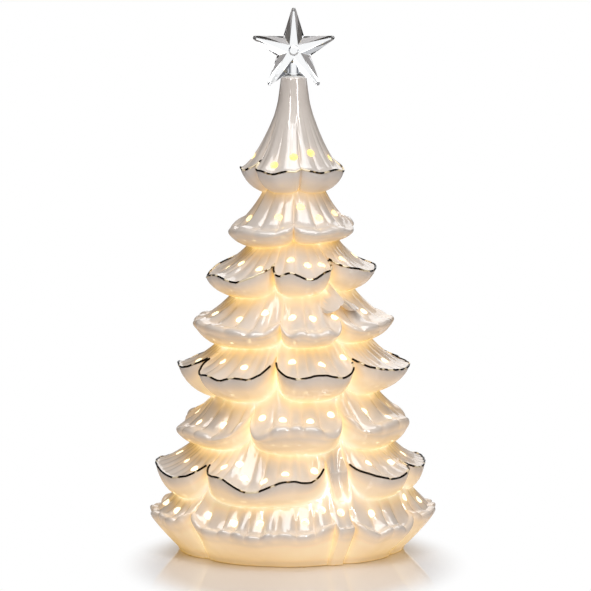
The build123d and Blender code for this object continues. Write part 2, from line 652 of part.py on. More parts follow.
board_leds = []
for x, y in ((-22, -8), (-22, 8), (22, -8), (22, 8), (-11, -17), (11, -17), (-11, 17), (11, 17)):
    board_leds.append(box(x - LED_LONG / 2, x + LED_LONG / 2, y - LED_SHORT / 2, y + LED_SHORT / 2,
                          BOARD_TOP, BOARD_TOP + LED_T))
save(Compound(children=board_leds), "board_leds")
chip = box(12, 17, -6, -2, BOARD_TOP, BOARD_TOP + 1.5)
for x in (12.6, 13.87, 15.13, 16.4):
    chip += box(x - 0.2, x + 0.2, -7, -1, BOARD_TOP, BOARD_TOP + 0.6)
save(chip, "timer_chip")
resistors = []
for y in (-6, -3, 3, 6):
    resistors.append(box(-15, -13, y - 0.6, y + 0.6, BOARD_TOP, BOARD_TOP + 0.5))
save(Compound(children=resistors), "board_resistors")

# Light mast: two boards slotted into a cross, with lamps looking four ways

MAST_SPLIT = (BOARD_TOP + MAST_TOP) / 2
half_t = BOARD_T / 2
slot = half_t + MAST_SLOT_GAP
wide = box(-MAST_HALF, MAST_HALF, -half_t, half_t, BOARD_TOP, MAST_TOP)
wide -= box(-slot, slot, -1, 1, MAST_SPLIT, MAST_TOP + 1)
save(wide, "mast_board_wide")
narrow = box(-half_t, half_t, -MAST_HALF, MAST_HALF, BOARD_TOP, MAST_TOP)
narrow -= box(-1, 1, -slot, slot, BOARD_TOP - 1, MAST_SPLIT)
save(narrow, "mast_board_narrow")
mast_leds = []
out = half_t + LED_T
off_low = MAST_HALF / 2 + 0.6 - LED_SHORT / 2
off_high = off_low + LED_SHORT
for level in range(5):
    low = BOARD_TOP + 18 + 37 * level
    high = low + LED_LONG
    mast_leds.append(box(off_low, off_high, -out, -half_t, low, high))
    mast_leds.append(box(-off_high, -off_low, half_t, out, low, high))
    mast_leds.append(box(half_t, out, off_low, off_high, low, high))
    mast_leds.append(box(-out, -half_t, -off_high, -off_low, low, high))
save(Compound(children=mast_leds), "mast_leds")

# Slide switch on the flange, knob at its left stop (on)

frame_half = SWITCH_LONG / 2
wide_half = SWITCH_WIDE / 2
frame_top = FLANGE_TOP + SWITCH_HEIGHT
frame = box(-frame_half, frame_half, SWITCH_Y - wide_half, SWITCH_Y + wide_half, FLANGE_TOP, frame_top)
cavity_x = frame_half - SWITCH_METAL
cavity_y = wide_half - SWITCH_METAL
frame -= box(-cavity_x, cavity_x, SWITCH_Y - cavity_y, SWITCH_Y + cavity_y, FLANGE_TOP + SWITCH_METAL, frame_top + 1)
frame -= box(-slot_half, slot_half, SWITCH_Y - KNOB_WIDE / 2 - 0.2, SWITCH_Y + KNOB_WIDE / 2 + 0.2,
             FLANGE_TOP - 1, FLANGE_TOP + 1)
for side in (-1, 1):
    frame += box(*sorted((side * frame_half, side * (EAR_X + 2.5))), SWITCH_Y - 2.4, SWITCH_Y + 2.4,
                 FLANGE_TOP, FLANGE_TOP + SWITCH_METAL)
    frame -= rod(1.0, side * EAR_X, SWITCH_Y, FLANGE_TOP - 1, FLANGE_TOP + 2)
save(frame, "switch_frame")
CARRIER_LOW = FLANGE_TOP + SWITCH_METAL + 0.1
CARRIER_HIGH = CARRIER_LOW + 1.9
base_low = CARRIER_HIGH + 0.3
save(box(-cavity_x, cavity_x, SWITCH_Y - cavity_y, SWITCH_Y + cavity_y, base_low, frame_top), "switch_base")
knob_x = -SWITCH_TRAVEL / 2
knob = box(knob_x - 3, knob_x + 3, SWITCH_Y - 2.4, SWITCH_Y + 2.4, CARRIER_LOW, CARRIER_HIGH)
knob += box(knob_x - KNOB_LONG / 2, knob_x + KNOB_LONG / 2, SWITCH_Y - KNOB_WIDE / 2, SWITCH_Y + KNOB_WIDE / 2,
            FLANGE_Z + 0.4, CARRIER_LOW)
save(knob, "switch_knob")
terminals = []
for x in (-4, 0, 4):
    terminals.append(box(x - 0.4, x + 0.4, SWITCH_Y - 0.25, SWITCH_Y + 0.25, frame_top, frame_top + 3.2))
save(Compound(children=terminals), "switch_terminals")

# Two leads arch from the switch to the board

lead_start = frame_top + 3.2
leads = []
for x in (-4, 0):
    run = FilletPolyline((x, SWITCH_Y, lead_start), (x, SWITCH_Y, BOARD_TOP + 6),
                         (x, -21, BOARD_TOP + 6), (x, -21, BOARD_TOP), radius=3)
    leads.append(sweep(Plane((x, SWITCH_Y, lead_start)) * Circle(LEAD_R), path=run))
save(Compound(children=leads), "switch_leads")
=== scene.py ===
import math
from collections import namedtuple

import bpy
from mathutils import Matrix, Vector, kdtree


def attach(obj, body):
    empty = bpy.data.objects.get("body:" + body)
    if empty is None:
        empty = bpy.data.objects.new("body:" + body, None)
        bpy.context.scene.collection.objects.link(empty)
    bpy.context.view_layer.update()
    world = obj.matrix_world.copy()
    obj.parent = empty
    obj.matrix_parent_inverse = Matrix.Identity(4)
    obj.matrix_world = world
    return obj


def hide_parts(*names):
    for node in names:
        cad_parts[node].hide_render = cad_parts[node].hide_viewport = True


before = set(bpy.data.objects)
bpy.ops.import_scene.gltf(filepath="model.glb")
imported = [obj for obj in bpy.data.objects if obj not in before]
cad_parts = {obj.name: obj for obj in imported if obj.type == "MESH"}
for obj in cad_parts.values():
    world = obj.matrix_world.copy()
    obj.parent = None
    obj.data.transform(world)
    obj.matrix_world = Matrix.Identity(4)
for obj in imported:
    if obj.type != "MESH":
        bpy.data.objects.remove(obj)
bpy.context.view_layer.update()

# Camera: a long lens two metres in front of the tree and a little above its middle.
# The shift only frames the tree where the photograph has it.
MM = 0.001
PHOTO_SIDE = 591
MM_PER_PIXEL = 0.6
SENSOR_WIDTH = 36.0
CAMERA_DISTANCE = 2.0
CAMERA_ELEVATION = math.radians(5.5)
AIM_HEIGHT = 0.165
AIM_PIXEL = (293.7, 275.5)

aim_back = Vector((0, -math.cos(CAMERA_ELEVATION), math.sin(CAMERA_ELEVATION)))
camera_data = bpy.data.cameras.new("photo_camera")
camera = bpy.data.objects.new("photo_camera", camera_data)
bpy.context.scene.collection.objects.link(camera)
camera.location = Vector((0, 0, AIM_HEIGHT)) + aim_back * CAMERA_DISTANCE
camera.rotation_euler = (math.pi / 2 - CAMERA_ELEVATION, 0, 0)
camera_data.sensor_width = SENSOR_WIDTH
camera_data.lens = SENSOR_WIDTH * CAMERA_DISTANCE / (PHOTO_SIDE * MM_PER_PIXEL * MM)
camera_data.shift_x = (PHOTO_SIDE / 2 - AIM_PIXEL[0]) / PHOTO_SIDE
camera_data.shift_y = -(PHOTO_SIDE / 2 - AIM_PIXEL[1]) / PHOTO_SIDE
bpy.context.scene.camera = camera


# Porcelain shell: a slip-cast hollow fir tree in one piece, eight tiers of boughs over a lobed
# foot, glazed outside and left bare inside. Each tier starts at a neck and flares to a rim; a
# bough has a valley at its start, pleats down its top, and a smooth belly under the rim.
Tier = namedtuple("Tier", "neck_z neck_r tilt boughs lights")
Bough = namedtuple("Bough", "start depth reach rim_z waves swing phase")

TIERS = [
    Tier(258.7, 12.7, 0.0, [
        Bough(-114, 0.6, 32.0, 229.5, 2, 0.8, 0),
        Bough(-57, 0.5, 31.5, 228.5, 2, 0.8, 180),
        Bough(9, 0.25, 32.0, 229.0, 2, 0.8, 0),
        Bough(93, 0.6, 31.5, 229.0, 2, 0.8, 0),
        Bough(144, 0.4, 31.5, 228.0, 2, 0.8, 0),
        Bough(195, 0.5, 31.5, 229.0, 2, 0.8, 0),
    ], [(-85, 0.6), (-27, 0.68), (0, 0.55), (28, 0.46), (65, 0.58),
        (112, 0.55), (160, 0.6), (182, 0.5), (222, 0.6)]),
    Tier(215.5, 18.6, 0.0, [
        Bough(-99, 0.6, 41.0, 192.5, 2, 0.8, 0),
        Bough(0, 0.35, 41.0, 193.5, 2, 0.8, 0),
        Bough(81, 0.6, 36.5, 197.0, 2, 0.8, 0),
        Bough(144, 0.5, 40.0, 194.0, 2, 0.8, 0),
        Bough(201, 0.5, 40.0, 194.0, 2, 0.8, 0),
    ], [(-69, 0.47), (-19, 0.42), (10, 0.28), (31, 0.47), (64, 0.4),
        (98, 0.45), (122, 0.5), (160, 0.4), (184, 0.5), (218, 0.45), (244, 0.5)]),
    Tier(184.5, 25.5, 2.2, [
        Bough(-105, 0.7, 53.5, 166.0, 2, 1.6, 0),
        Bough(-18, 0.65, 50.0, 169.0, 2, 2.0, 150),
        Bough(36, 0.9, 50.0, 171.5, 1, 2.0, 0),
        Bough(102, 0.7, 50.0, 169.0, 2, 1.0, 0),
        Bough(150, 0.7, 50.0, 168.0, 2, 1.0, 0),
        Bough(204, 0.7, 51.0, 171.0, 2, 1.0, 0),
    ], [(-82, 0.53), (-58, 0.4), (-32, 0.53), (-3, 0.42), (13, 0.45), (25, 0.6), (52, 0.47), (82, 0.5),
        (115, 0.45), (138, 0.5), (165, 0.4), (190, 0.5), (220, 0.45), (240, 0.5)]),
    Tier(155.0, 35.5, 2.5, [
        Bough(-93, 0.35, 62.5, 137.0, 0.5, 2.5, 0),
        Bough(-9, 0.45, 62.0, 135.5, 3, 0.8, 0),
        Bough(33, 0.55, 61.5, 139.0, 0.5, -2.0, 0),
        Bough(96, 0.6, 61.0, 137.0, 2, 0.8, 0),
        Bough(156, 0.7, 61.0, 136.0, 2, 0.8, 0),
        Bough(210, 0.7, 63.0, 138.0, 2, 0.8, 0),
    ], [(-76, 0.5), (-43, 0.45), (-23, 0.35), (-1, 0.38), (14, 0.4), (31, 0.62), (62, 0.45), (84, 0.5),
        (112, 0.45), (138, 0.4), (170, 0.5), (194, 0.45), (224, 0.4), (250, 0.5)]),
    Tier(125.5, 45.0, 2.0, [
        Bough(-117, 0.8, 69.5, 112.0, 2, 1.0, 0),
        Bough(-66, 0.9, 70.0, 109.5, 3, 1.0, 0),
        Bough(-12, 1.0, 70.0, 112.0, 2, 1.2, 0),
        Bough(39, 1.0, 71.0, 113.0, 1, 1.0, 0),
        Bough(96, 0.8, 69.0, 112.0, 2, 1.0, 0),
        Bough(150, 0.8, 69.0, 110.0, 2, 1.0, 0),
        Bough(201, 0.8, 69.0, 111.0, 2, 1.0, 0),
    ], [(-102, 0.45), (-80, 0.55), (-52, 0.35), (-31, 0.47), (-1, 0.33), (17, 0.45), (34, 0.47), (67, 0.53),
        (88, 0.4), (114, 0.5), (134, 0.4), (164, 0.5), (186, 0.45), (214, 0.4), (232, 0.5)]),
    Tier(94.5, 49.5, 2.0, [
        Bough(-96, 0.8, 72.5, 74.5, 2, 1.0, 0),
        Bough(-27, 0.9, 72.0, 78.5, 1, -3.5, 0),
        Bough(30, 0.9, 71.5, 80.0, 2, 1.0, 0),
        Bough(96, 0.6, 69.0, 82.0, 2, 1.0, 0),
        Bough(150, 0.8, 70.0, 77.0, 2, 1.0, 0),
        Bough(204, 0.8, 70.0, 79.0, 2, 1.0, 0),
    ], [(-84, 0.4), (-63, 0.62), (-44, 0.47), (-19, 0.4), (-6, 0.53), (9, 0.53), (23, 0.35), (48, 0.35),
        (63, 0.65), (84, 0.4), (112, 0.5), (134, 0.4), (164, 0.5), (190, 0.4), (220, 0.5), (246, 0.45)]),
    Tier(64.5, 58.0, 0.0, [
        Bough(-102, 0.8, 83.5, 51.5, 0.5, 4.0, 0),
        Bough(-48, 0.9, 81.0, 49.0, 2, -3.5, 40),
        Bough(18, 1.0, 60.5, 54.0, 1, 0.0, 0),
        Bough(30, 1.0, 81.0, 52.5, 1, 2.0, 0),
        Bough(66, 0.55, 79.0, 53.0, 0.5, -2.0, 0),
        Bough(114, 0.8, 79.0, 51.0, 2, 1.0, 0),
        Bough(159, 0.8, 79.0, 50.0, 2, 1.0, 0),
        Bough(207, 0.8, 79.0, 51.0, 2, 1.0, 0),
    ], [(-86, 0.45), (-69, 0.4), (-57, 0.55), (-37, 0.5), (-29, 0.4), (-24, 0.6), (-14, 0.6), (-4, 0.55),
        (11, 0.5), (42, 0.35), (58, 0.45), (84, 0.4), (102, 0.5), (128, 0.45), (146, 0.5), (174, 0.4),
        (194, 0.5), (220, 0.45), (244, 0.5)]),
    Tier(36.0, 71.0, 2.0, [
        Bough(-105, 0.8, 87.0, 23.5, 3, 1.0, 0),
        Bough(-51, 0.8, 86.5, 20.0, 3, 1.0, 0),
        Bough(18, 0.5, 83.0, 23.0, 1, 0.5, 0),
        Bough(27, 0.6, 85.0, 19.5, 2, 1.2, 0),
        Bough(63, 0.6, 86.0, 24.5, 2, 0.8, 0),
        Bough(111, 0.8, 86.0, 22.0, 3, 1.0, 0),
        Bough(159, 0.8, 86.0, 21.0, 3, 1.0, 0),
        Bough(207, 0.8, 86.0, 22.0, 3, 1.0, 0),
    ], [(-86, 0.4), (-65, 0.4), (-42, 0.4), (-27, 0.42), (-15, 0.35), (5, 0.38), (13, 0.25), (22, 0.2),
        (38, 0.25), (66, 0.3), (80, 0.35), (96, 0.4), (122, 0.4), (146, 0.35), (172, 0.4), (196, 0.35),
        (220, 0.4), (242, 0.35)]),
]
LAST = len(TIERS)
COLUMNS = 360
NECK_TOP = 284.0
NECK_LIFT = 11.0
NECK_PULL = 0.4
LOBE_FLATNESS = 3.4
LOBE_POWER = 0.6
VALLEY_SHARE = 0.12
EASE_SHARE = 0.3
RISE_MOST = 14.0
RISE_SHARE = 0.8
RISE_POWER = 1.2
WALL = 3.2
FOOT_R = 68.5
FOOT_VALLEY = 6.0
FOOT_LEAN = 1.5
FOOT_EDGE = 2.5
FOOT_ROUNDING = ((0.25, 1.4, 0.4), (0.9, 0.5, 0.8), (2.2, 0.0, 1.0))
FLOOR_T = 5.0
OPENING_R = 46.0
RECESS_R = 50.3
RECESS_DEPTH = 3.5
BORE_R = 5.2
BORE_END = 270.0
BORE_FLARE = (7.2, 264.5)
PIERCED_R = 2.4
DRILL_LENGTH = 13.0
DRILL_SET_IN = 1.5
NARROW_BOUGH = 20
FINE_PLEAT_WIDTH = 6.5
FINE_PLEAT_HEIGHT = 1.6
WIDE_PLEAT_WIDTH = 11.0
WIDE_PLEAT_HEIGHT = 3.0
PLEAT_REACH = 75
PLEAT_OUT = 0.75
PLEAT_UP = 0.65
HEM_FROM = 0.7
HEM_TO = 0.2
HEM_PUSH = 0.9
HEM_LIFT = 1.2
HEM_DROOP = {1: 0.5, 3: 1.5, 5: 3.0, 7: 0.5}
HEM_FOLDS = {1: 0.25, 3: 0.5, 5: 0.75, 7: 1.0}
SMALL_BOUGH = {"tier": 3, "at": 38.0, "half": 15.0, "root": 0.45, "reach": 14.5, "drop": 4.5,
               "peak": 0.2, "end": 0.34}
NECK_PROFILE = [(7.0, NECK_TOP), (7.5, 283.75), (7.75, 283.2), (7.85, 282.2), (8.15, 279.6), (8.5, 277.0),
                (8.95, 273.6), (9.4, 270.3), (10.0, 267.4), (10.8, 264.5), (11.6, 261.6)]
UPPER_STEPS = (0.0, 0.08, 0.16, 0.25, 0.34, 0.44, 0.57, 0.7)
RIM_STEPS = (0.8, 0.88, 0.94, 0.985)
HEM_STEPS = (0.09, 0.18, 0.27, 0.36, 0.45, 0.54, 0.63, 0.72, 0.81, 0.9)
UNDER_STEPS = (0.2, 0.34, 0.48, 0.64, 0.82)
EDGE_STEPS = (0.0, 0.015, 0.05, 0.12)
SMALL_BOUGH_STEPS = (0.0, 0.05, 0.1, 0.14, 0.17, 0.19, 0.2, 0.21, 0.23, 0.26, 0.3, 0.34, 0.4, 0.47, 0.57, 0.7)
LINING_UPPER = (0.0, 0.5)
LINING_UNDER = (0.0, 0.3, 0.65)


def ease(u):
    return u * u * (3 - 2 * u)


def bough_at(tier, azimuth):
    for index, bough in enumerate(tier.boughs):
        after = tier.boughs[(index + 1) % len(tier.boughs)]
        width = (after.start - bough.start) % 360
        into = (azimuth - bough.start) % 360
        if into < width:
            return index, into / width, width
    raise ValueError(azimuth)


def eased(tier, index, u, field):
    own = getattr(tier.boughs[index], field)
    before = getattr(tier.boughs[index - 1], field)
    after = getattr(tier.boughs[(index + 1) % len(tier.boughs)], field)
    if u < EASE_SHARE:
        middle = (before + own) / 2
        return middle + (own - middle) * ease(u / EASE_SHARE)
    if u > 1 - EASE_SHARE:
        middle = (after + own) / 2
        return middle + (own - middle) * ease((1 - u) / EASE_SHARE)
    return own


def fullness(k, azimuth):
    tier = TIERS[k]
    index, u, width = bough_at(tier, azimuth)
    depth = tier.boughs[index].depth
    after = tier.boughs[(index + 1) % len(tier.boughs)]
    depth += (after.depth - depth) * ease(u)
    lobe = (1 - abs(2 * u - 1) ** LOBE_FLATNESS) ** LOBE_POWER
    return 1 - (1 - lobe) * depth


def rim(k, azimuth):
    tier = TIERS[k]
    index, u, width = bough_at(tier, azimuth)
    bough = tier.boughs[index]
    full = fullness(k, azimuth)
    reach = eased(tier, index, u, "reach")
    rim_z = eased(tier, index, u, "rim_z")
    valley_r = tier.neck_r + VALLEY_SHARE * (reach - tier.neck_r)
    rise = min(RISE_MOST, RISE_SHARE * (tier.neck_z - rim_z))
    wave = bough.swing * math.cos(2 * math.pi * bough.waves * u + math.radians(bough.phase))
    wave *= min(1.0, 4 * u, 4 * (1 - u))
    return valley_r + (reach - valley_r) * full, rim_z + rise * (1 - full) ** RISE_POWER + wave


def neck(k, azimuth):
    if k == 0:
        return TIERS[0].neck_r, TIERS[0].neck_z
    hollow = 1 - fullness(k - 1, azimuth)
    side = math.sin(math.radians(azimuth))
    if k == LAST:
        return FOOT_R - FOOT_VALLEY * hollow - FOOT_LEAN * side, FOOT_EDGE
    lift = NECK_LIFT * hollow
    return TIERS[k].neck_r - NECK_PULL * lift, TIERS[k].neck_z + lift + TIERS[k].tilt * side


def small_bough(k, azimuth, t):
    off = (azimuth - SMALL_BOUGH["at"] + 180) % 360 - 180
    if k != SMALL_BOUGH["tier"] or abs(off) >= SMALL_BOUGH["half"] or t >= SMALL_BOUGH["end"]:
        return 0.0
    opened = min(1.0, t / SMALL_BOUGH["peak"])
    half = SMALL_BOUGH["half"] * (SMALL_BOUGH["root"] + (1 - SMALL_BOUGH["root"]) * opened)
    lobe = math.sqrt(max(0.0, 1 - abs(off / half) ** 2.4))
    if t < SMALL_BOUGH["peak"]:
        return lobe * t / SMALL_BOUGH["peak"]
    return lobe * ((SMALL_BOUGH["end"] - t) / (SMALL_BOUGH["end"] - SMALL_BOUGH["peak"])) ** 0.5


# Pleats: rounded folds with a crease between them. The gilt tiers have many fine ones that fade
# at the rim, the plain tiers fewer and wider ones that end in a scalloped hem.
def fold(k, azimuth):
    index, u, width = bough_at(TIERS[k], azimuth)
    middle_r = (TIERS[k].neck_r + TIERS[k].boughs[index].reach) / 2
    pleat_width = FINE_PLEAT_WIDTH if k % 2 == 0 else WIDE_PLEAT_WIDTH
    count = max(2, round(math.radians(width) * middle_r / pleat_width))
    way = 1 if (index + k) % 2 else -1
    along = count * u + way * 0.3 * math.sin(2 * math.pi * u)
    along += 0.18 * math.sin(math.pi * count * u) * math.sin(2 * math.pi * (2.3 * u + 0.17 * k))
    height = 0.8 + 0.2 * math.sin(2.4 * math.floor(along) + index + k)
    return height * abs(math.sin(math.pi * along)) ** 0.75


def pleat(k, azimuth, t):
    size = TIERS[k].boughs[0].reach / PLEAT_REACH
    if bough_at(TIERS[k], azimuth)[2] < NARROW_BOUGH:
        return 0.0
    if k % 2 == 0:
        share = 0.2 + 0.8 * ease(min(1.0, t / 0.5)) - 0.6 * ease(max(0.0, (t - 0.55) / 0.45))
        return FINE_PLEAT_HEIGHT * size * share * (fold(k, azimuth) - 0.6)
    share = 0.1 + 0.9 * ease(min(1.0, t / 0.5))
    return WIDE_PLEAT_HEIGHT * size * share * (fold(k, azimuth) - 0.65)


def upper(k, azimuth, t, outside=True):
    start_r, start_z = neck(k, azimuth)
    end_r, end_z = rim(k, azimuth)
    r = start_r + (end_r - start_r) * t
    z = start_z - (start_z - end_z) * (1 - (1 - t) ** 1.6)
    if outside:
        extra = small_bough(k, azimuth, t)
        out = pleat(k, azimuth, t)
        r += SMALL_BOUGH["reach"] * extra + PLEAT_OUT * out
        z += PLEAT_UP * out - SMALL_BOUGH["drop"] * extra
    return r, z


def under(k, azimuth, t, outside=True):
    start_r, start_z = rim(k, azimuth)
    end_r, end_z = neck(k + 1, azimuth)
    across, down = t, t ** 0.85
    if k + 1 < LAST:
        turn = math.pi / 2 * t
        across = (t + 1 - math.cos(turn)) / 2
        down = (t ** 0.65 + math.sin(turn)) / 2
    r = start_r - (start_r - end_r) * across
    z = start_z - (start_z - end_z) * down
    if outside:
        fade = ease(1 - min(1.0, t / 0.45)) if k % 2 == 0 else 0.15 * (1 - t)
        nearness = ease(max(0.0, 1 - (1 - t) / 0.4)) if k + 1 < LAST else 0.0
        out = pleat(k, azimuth, 1.0) * fade
        if nearness:
            out += pleat(k + 1, azimuth, 0.0) * nearness
        r += PLEAT_OUT * out
        z += PLEAT_UP * out
    return r, z


# A plain hem rolls over from the top of the bough to its belly, with the fold ends bulging.
def hem(k, azimuth, s):
    above = upper(k, azimuth, HEM_FROM, False)
    below = under(k, azimuth, HEM_TO, False)
    corner_r, corner_z = rim(k, azimuth)
    index, u, width = bough_at(TIERS[k], azimuth)
    side = ease(max(0.0, 1 - abs(min(u, 1 - u) - 0.15) / 0.15))
    corner = (corner_r, corner_z + HEM_LIFT * fullness(k, azimuth) - HEM_DROOP[k] * side)
    fade = 1 - (1 - HEM_FOLDS[k]) * ease(min(1.0, s / 0.6))
    out = pleat(k, azimuth, 1.0) * (fade + (0.15 - fade) * ease(max(0.0, 2 * s - 1)))
    place = []
    for axis, lean in ((0, PLEAT_OUT + 0.2 * s), (1, PLEAT_UP - 0.3 * s)):
        pushed = corner[axis] + HEM_PUSH * (corner[axis] - (above[axis] + below[axis]) / 2)
        rolled = (1 - s) ** 2 * above[axis] + 2 * s * (1 - s) * pushed + s ** 2 * below[axis]
        place.append(rolled + lean * out)
    return tuple(place)


# The lining is the outside moved in by the wall, with a sideways inset at the valleys.
def corner_shift(before, corner, after):
    first = (corner[0] - before[0], corner[1] - before[1])
    second = (after[0] - corner[0], after[1] - corner[1])
    first_in = (first[1] / math.hypot(*first), -first[0] / math.hypot(*first))
    second_in = (second[1] / math.hypot(*second), -second[0] / math.hypot(*second))
    agree = max(0.35, 1 + first_in[0] * second_in[0] + first_in[1] * second_in[1])
    return WALL * (first_in[0] + second_in[0]) / agree, WALL * (first_in[1] + second_in[1]) / agree


def neck_shift(k, azimuth):
    if k in (0, LAST):
        return -1.15 * WALL, 0.0
    return corner_shift(under(k - 1, azimuth, 0.7, False), neck(k, azimuth), upper(k, azimuth, 0.3, False))


def rim_shift(k, azimuth):
    return corner_shift(upper(k, azimuth, 0.7, False), rim(k, azimuth), under(k, azimuth, 0.3, False))


AZIMUTHS = [360 * i / COLUMNS for i in range(COLUMNS)]


def lining(profile, first, second, t):
    points = []
    reach = COLUMNS // 10
    for i in range(COLUMNS):
        shift_r = first[i][0] + (second[i][0] - first[i][0]) * t
        shift_z = first[i][1] + (second[i][1] - first[i][1]) * t
        across = max(WALL, -shift_r)
        least = profile[i][0] - across
        for step in range(-reach, reach + 1, 2):
            angle = math.radians(360 * step / COLUMNS)
            r = profile[(i + step) % COLUMNS][0]
            share = r * math.sin(angle) / (1.2 * WALL)
            if abs(share) < 1:
                least = min(least, r * math.cos(angle) - across * math.sqrt(1 - share ** 2))
        points.append((least, profile[i][1] + shift_z))
    return points


# Rows of the whole section, one closed loop: outside down, foot, opening, lining up, bore.
rows = []
row_place = []


def add_row(profile, place):
    rows.append(profile)
    row_place.append(place)


for r, z in NECK_PROFILE:
    add_row([(r, z)] * COLUMNS, ("neck", 0, 0.0))
for k in range(LAST):
    plain = k % 2 == 1
    for t in SMALL_BOUGH_STEPS if k == SMALL_BOUGH["tier"] else UPPER_STEPS:
        add_row([upper(k, azimuth, t) for azimuth in AZIMUTHS], ("upper", k, t))
    for s in HEM_STEPS if plain else ():
        add_row([hem(k, azimuth, s) for azimuth in AZIMUTHS], ("hem", k, s))
    for t in () if plain else RIM_STEPS:
        add_row([upper(k, azimuth, t) for azimuth in AZIMUTHS], ("upper", k, t))
    for t in UNDER_STEPS if plain else EDGE_STEPS + UNDER_STEPS:
        add_row([under(k, azimuth, t) for azimuth in AZIMUTHS], ("under", k, t))
foot = [neck(LAST, azimuth) for azimuth in AZIMUTHS]
add_row(foot, ("foot", 0, 0.0))
for inset, height, t in FOOT_ROUNDING:
    add_row([(r - inset, height) for r, z in foot], ("foot", 0, t))
for corner in ((RECESS_R, 0.0), (RECESS_R, RECESS_DEPTH), (OPENING_R, RECESS_DEPTH)):
    add_row([corner] * COLUMNS, ("seat", 0, 0.0))
add_row([(OPENING_R, FLOOR_T)] * COLUMNS, ("lining", 0, 0.0))
lining_rows = []
neck_shifts = [neck_shift(0, azimuth) for azimuth in AZIMUTHS]
for k in range(LAST):
    rim_shifts = [rim_shift(k, azimuth) for azimuth in AZIMUTHS]
    for t in LINING_UPPER:
        profile = [upper(k, azimuth, t, False) for azimuth in AZIMUTHS]
        lining_rows.append(lining(profile, neck_shifts, rim_shifts, t))
    neck_shifts = [neck_shift(k + 1, azimuth) for azimuth in AZIMUTHS]
    for t in LINING_UNDER + ((1.0,) if k + 1 == LAST else ()):
        profile = [under(k, azimuth, t, False) for azimuth in AZIMUTHS]
        if k + 1 == LAST:
            profile = [(r, z + (FLOOR_T - FOOT_EDGE) * t) for r, z in profile]
        lining_rows.append(lining(profile, rim_shifts, neck_shifts, t))
for profile in reversed(lining_rows):
    add_row(profile, ("lining", 0, 0.0))
for corner in (BORE_FLARE, (BORE_R + 0.7, BORE_END), (BORE_R, BORE_END)):
    add_row([corner] * COLUMNS, ("lining", 0, 0.0))
add_row([(BORE_R, NECK_TOP)] * COLUMNS, ("seat", 0, 0.0))

bpy.ops.object.select_all(action="DESELECT")
bpy.ops.mesh.primitive_grid_add(
    x_subdivisions=COLUMNS, y_subdivisions=len(rows), size=0.1, location=(0, 0, 0))
shell = bpy.context.object
shell.name = "porcelain_shell"
shell.data.name = "porcelain_shell"
places, row_of, column_of = [], [], []
for j in range(len(rows) + 1):
    for i in range(COLUMNS + 1):
        angle = math.radians(AZIMUTHS[i % COLUMNS])
        r, z = rows[j % len(rows)][i % COLUMNS]
        places.extend((r * math.sin(angle) * MM, -r * math.cos(angle) * MM, z * MM))
        row_of.append(j % len(rows))
        column_of.append(i % COLUMNS)
shell.data.vertices.foreach_set("co", places)
shell.data.attributes.new("row", "INT", "POINT").data.foreach_set("value", row_of)
shell.data.attributes.new("column", "INT", "POINT").data.foreach_set("value", column_of)
shell.data.update()
bpy.ops.object.mode_set(mode="EDIT")
bpy.ops.mesh.select_all(action="SELECT")
bpy.ops.mesh.remove_doubles(threshold=0.000001)
bpy.ops.mesh.normals_make_consistent(inside=False)
bpy.ops.object.mode_set(mode="OBJECT")
row_of = [0] * len(shell.data.vertices)
column_of = [0] * len(shell.data.vertices)
shell.data.attributes["row"].data.foreach_get("value", row_of)
shell.data.attributes["column"].data.foreach_get("value", column_of)

# The glaze rounds every edge a little.
soft = shell.vertex_groups.new(name="glaze")
for index, row in enumerate(row_of):
    if row_place[row][0] in ("upper", "hem", "under", "neck"):
        soft.add([index], 0.6, "REPLACE")
rounding = shell.modifiers.new("glaze", "SMOOTH")
rounding.vertex_group = "glaze"
rounding.factor = 0.5
rounding.iterations = 1
bpy.ops.object.modifier_apply(modifier="glaze")

# Painted glow: how much of the lamplight coming through the wall is painted on each spot of the glaze, most
# in the creases, valleys and tier necks.
TIER_LIGHT = (0.45, 0.7, 0.85, 1.0, 1.0, 1.05, 1.05, 1.1)
NECK_LIGHT = 0.05
FOOT_LIGHT = 0.5
FOOT_SOLE_LIGHT = 0.3
SMALL_BOUGH_LIGHT = 0.25
HOLE_LIGHT = 0.35
HOLE_LIGHT_SPREAD = 1.7


def painted_glow(place, azimuth):
    part, k, t = place
    if part == "neck":
        return NECK_LIGHT
    if part == "foot":
        return FOOT_LIGHT + 0.1 * t if t < 1 else FOOT_SOLE_LIGHT
    if part in ("lining", "seat"):
        return 0.0
    hollow = 1 - fullness(k, azimuth)
    if part == "upper":
        crease = 1 - fold(k, azimuth)
        glow = 0.06 + (0.75 if k else 0.0) * (1 - t) ** 5
        glow += 0.24 * crease * math.sin(math.pi * min(1.0, 0.15 + 0.85 * t)) + 0.5 * hollow
        if small_bough(k, azimuth, t) > 0.2:
            glow *= SMALL_BOUGH_LIGHT
    elif part == "hem":
        crease = 1 - fold(k, azimuth)
        glow = 0.1 + 0.15 * crease + 0.3 * ease(max(0.0, 2 * t - 1)) + 0.4 * hollow
    elif k + 1 == LAST:
        glow = 0.22 + 0.36 * ease(min(1.0, t / 0.35)) + 0.3 * hollow
    else:
        glow = 0.16 + 0.4 * ease(min(1.0, t / 0.4)) + 0.4 * hollow
        glow += 0.35 * ease(max(0.0, (t - 0.45) / 0.55))
    return min(1.0, glow * TIER_LIGHT[k])


glow_of = kdtree.KDTree(len(shell.data.vertices))
glow_values = []
for vertex, row, column in zip(shell.data.vertices, row_of, column_of):
    glow_of.insert(vertex.co, vertex.index)
    glow_values.append(painted_glow(row_place[row], AZIMUTHS[column]))
glow_of.balance()

# Gilt rims are taken from the shell's own rim rows before it is pierced.
rim_lines = {}
for vertex, row, column in zip(shell.data.vertices, row_of, column_of):
    part, k, t = row_place[row]
    if part == "under" and t == 0.0 and k % 2 == 0:
        rim_lines.setdefault(k, [None] * COLUMNS)[column] = vertex.co.copy()

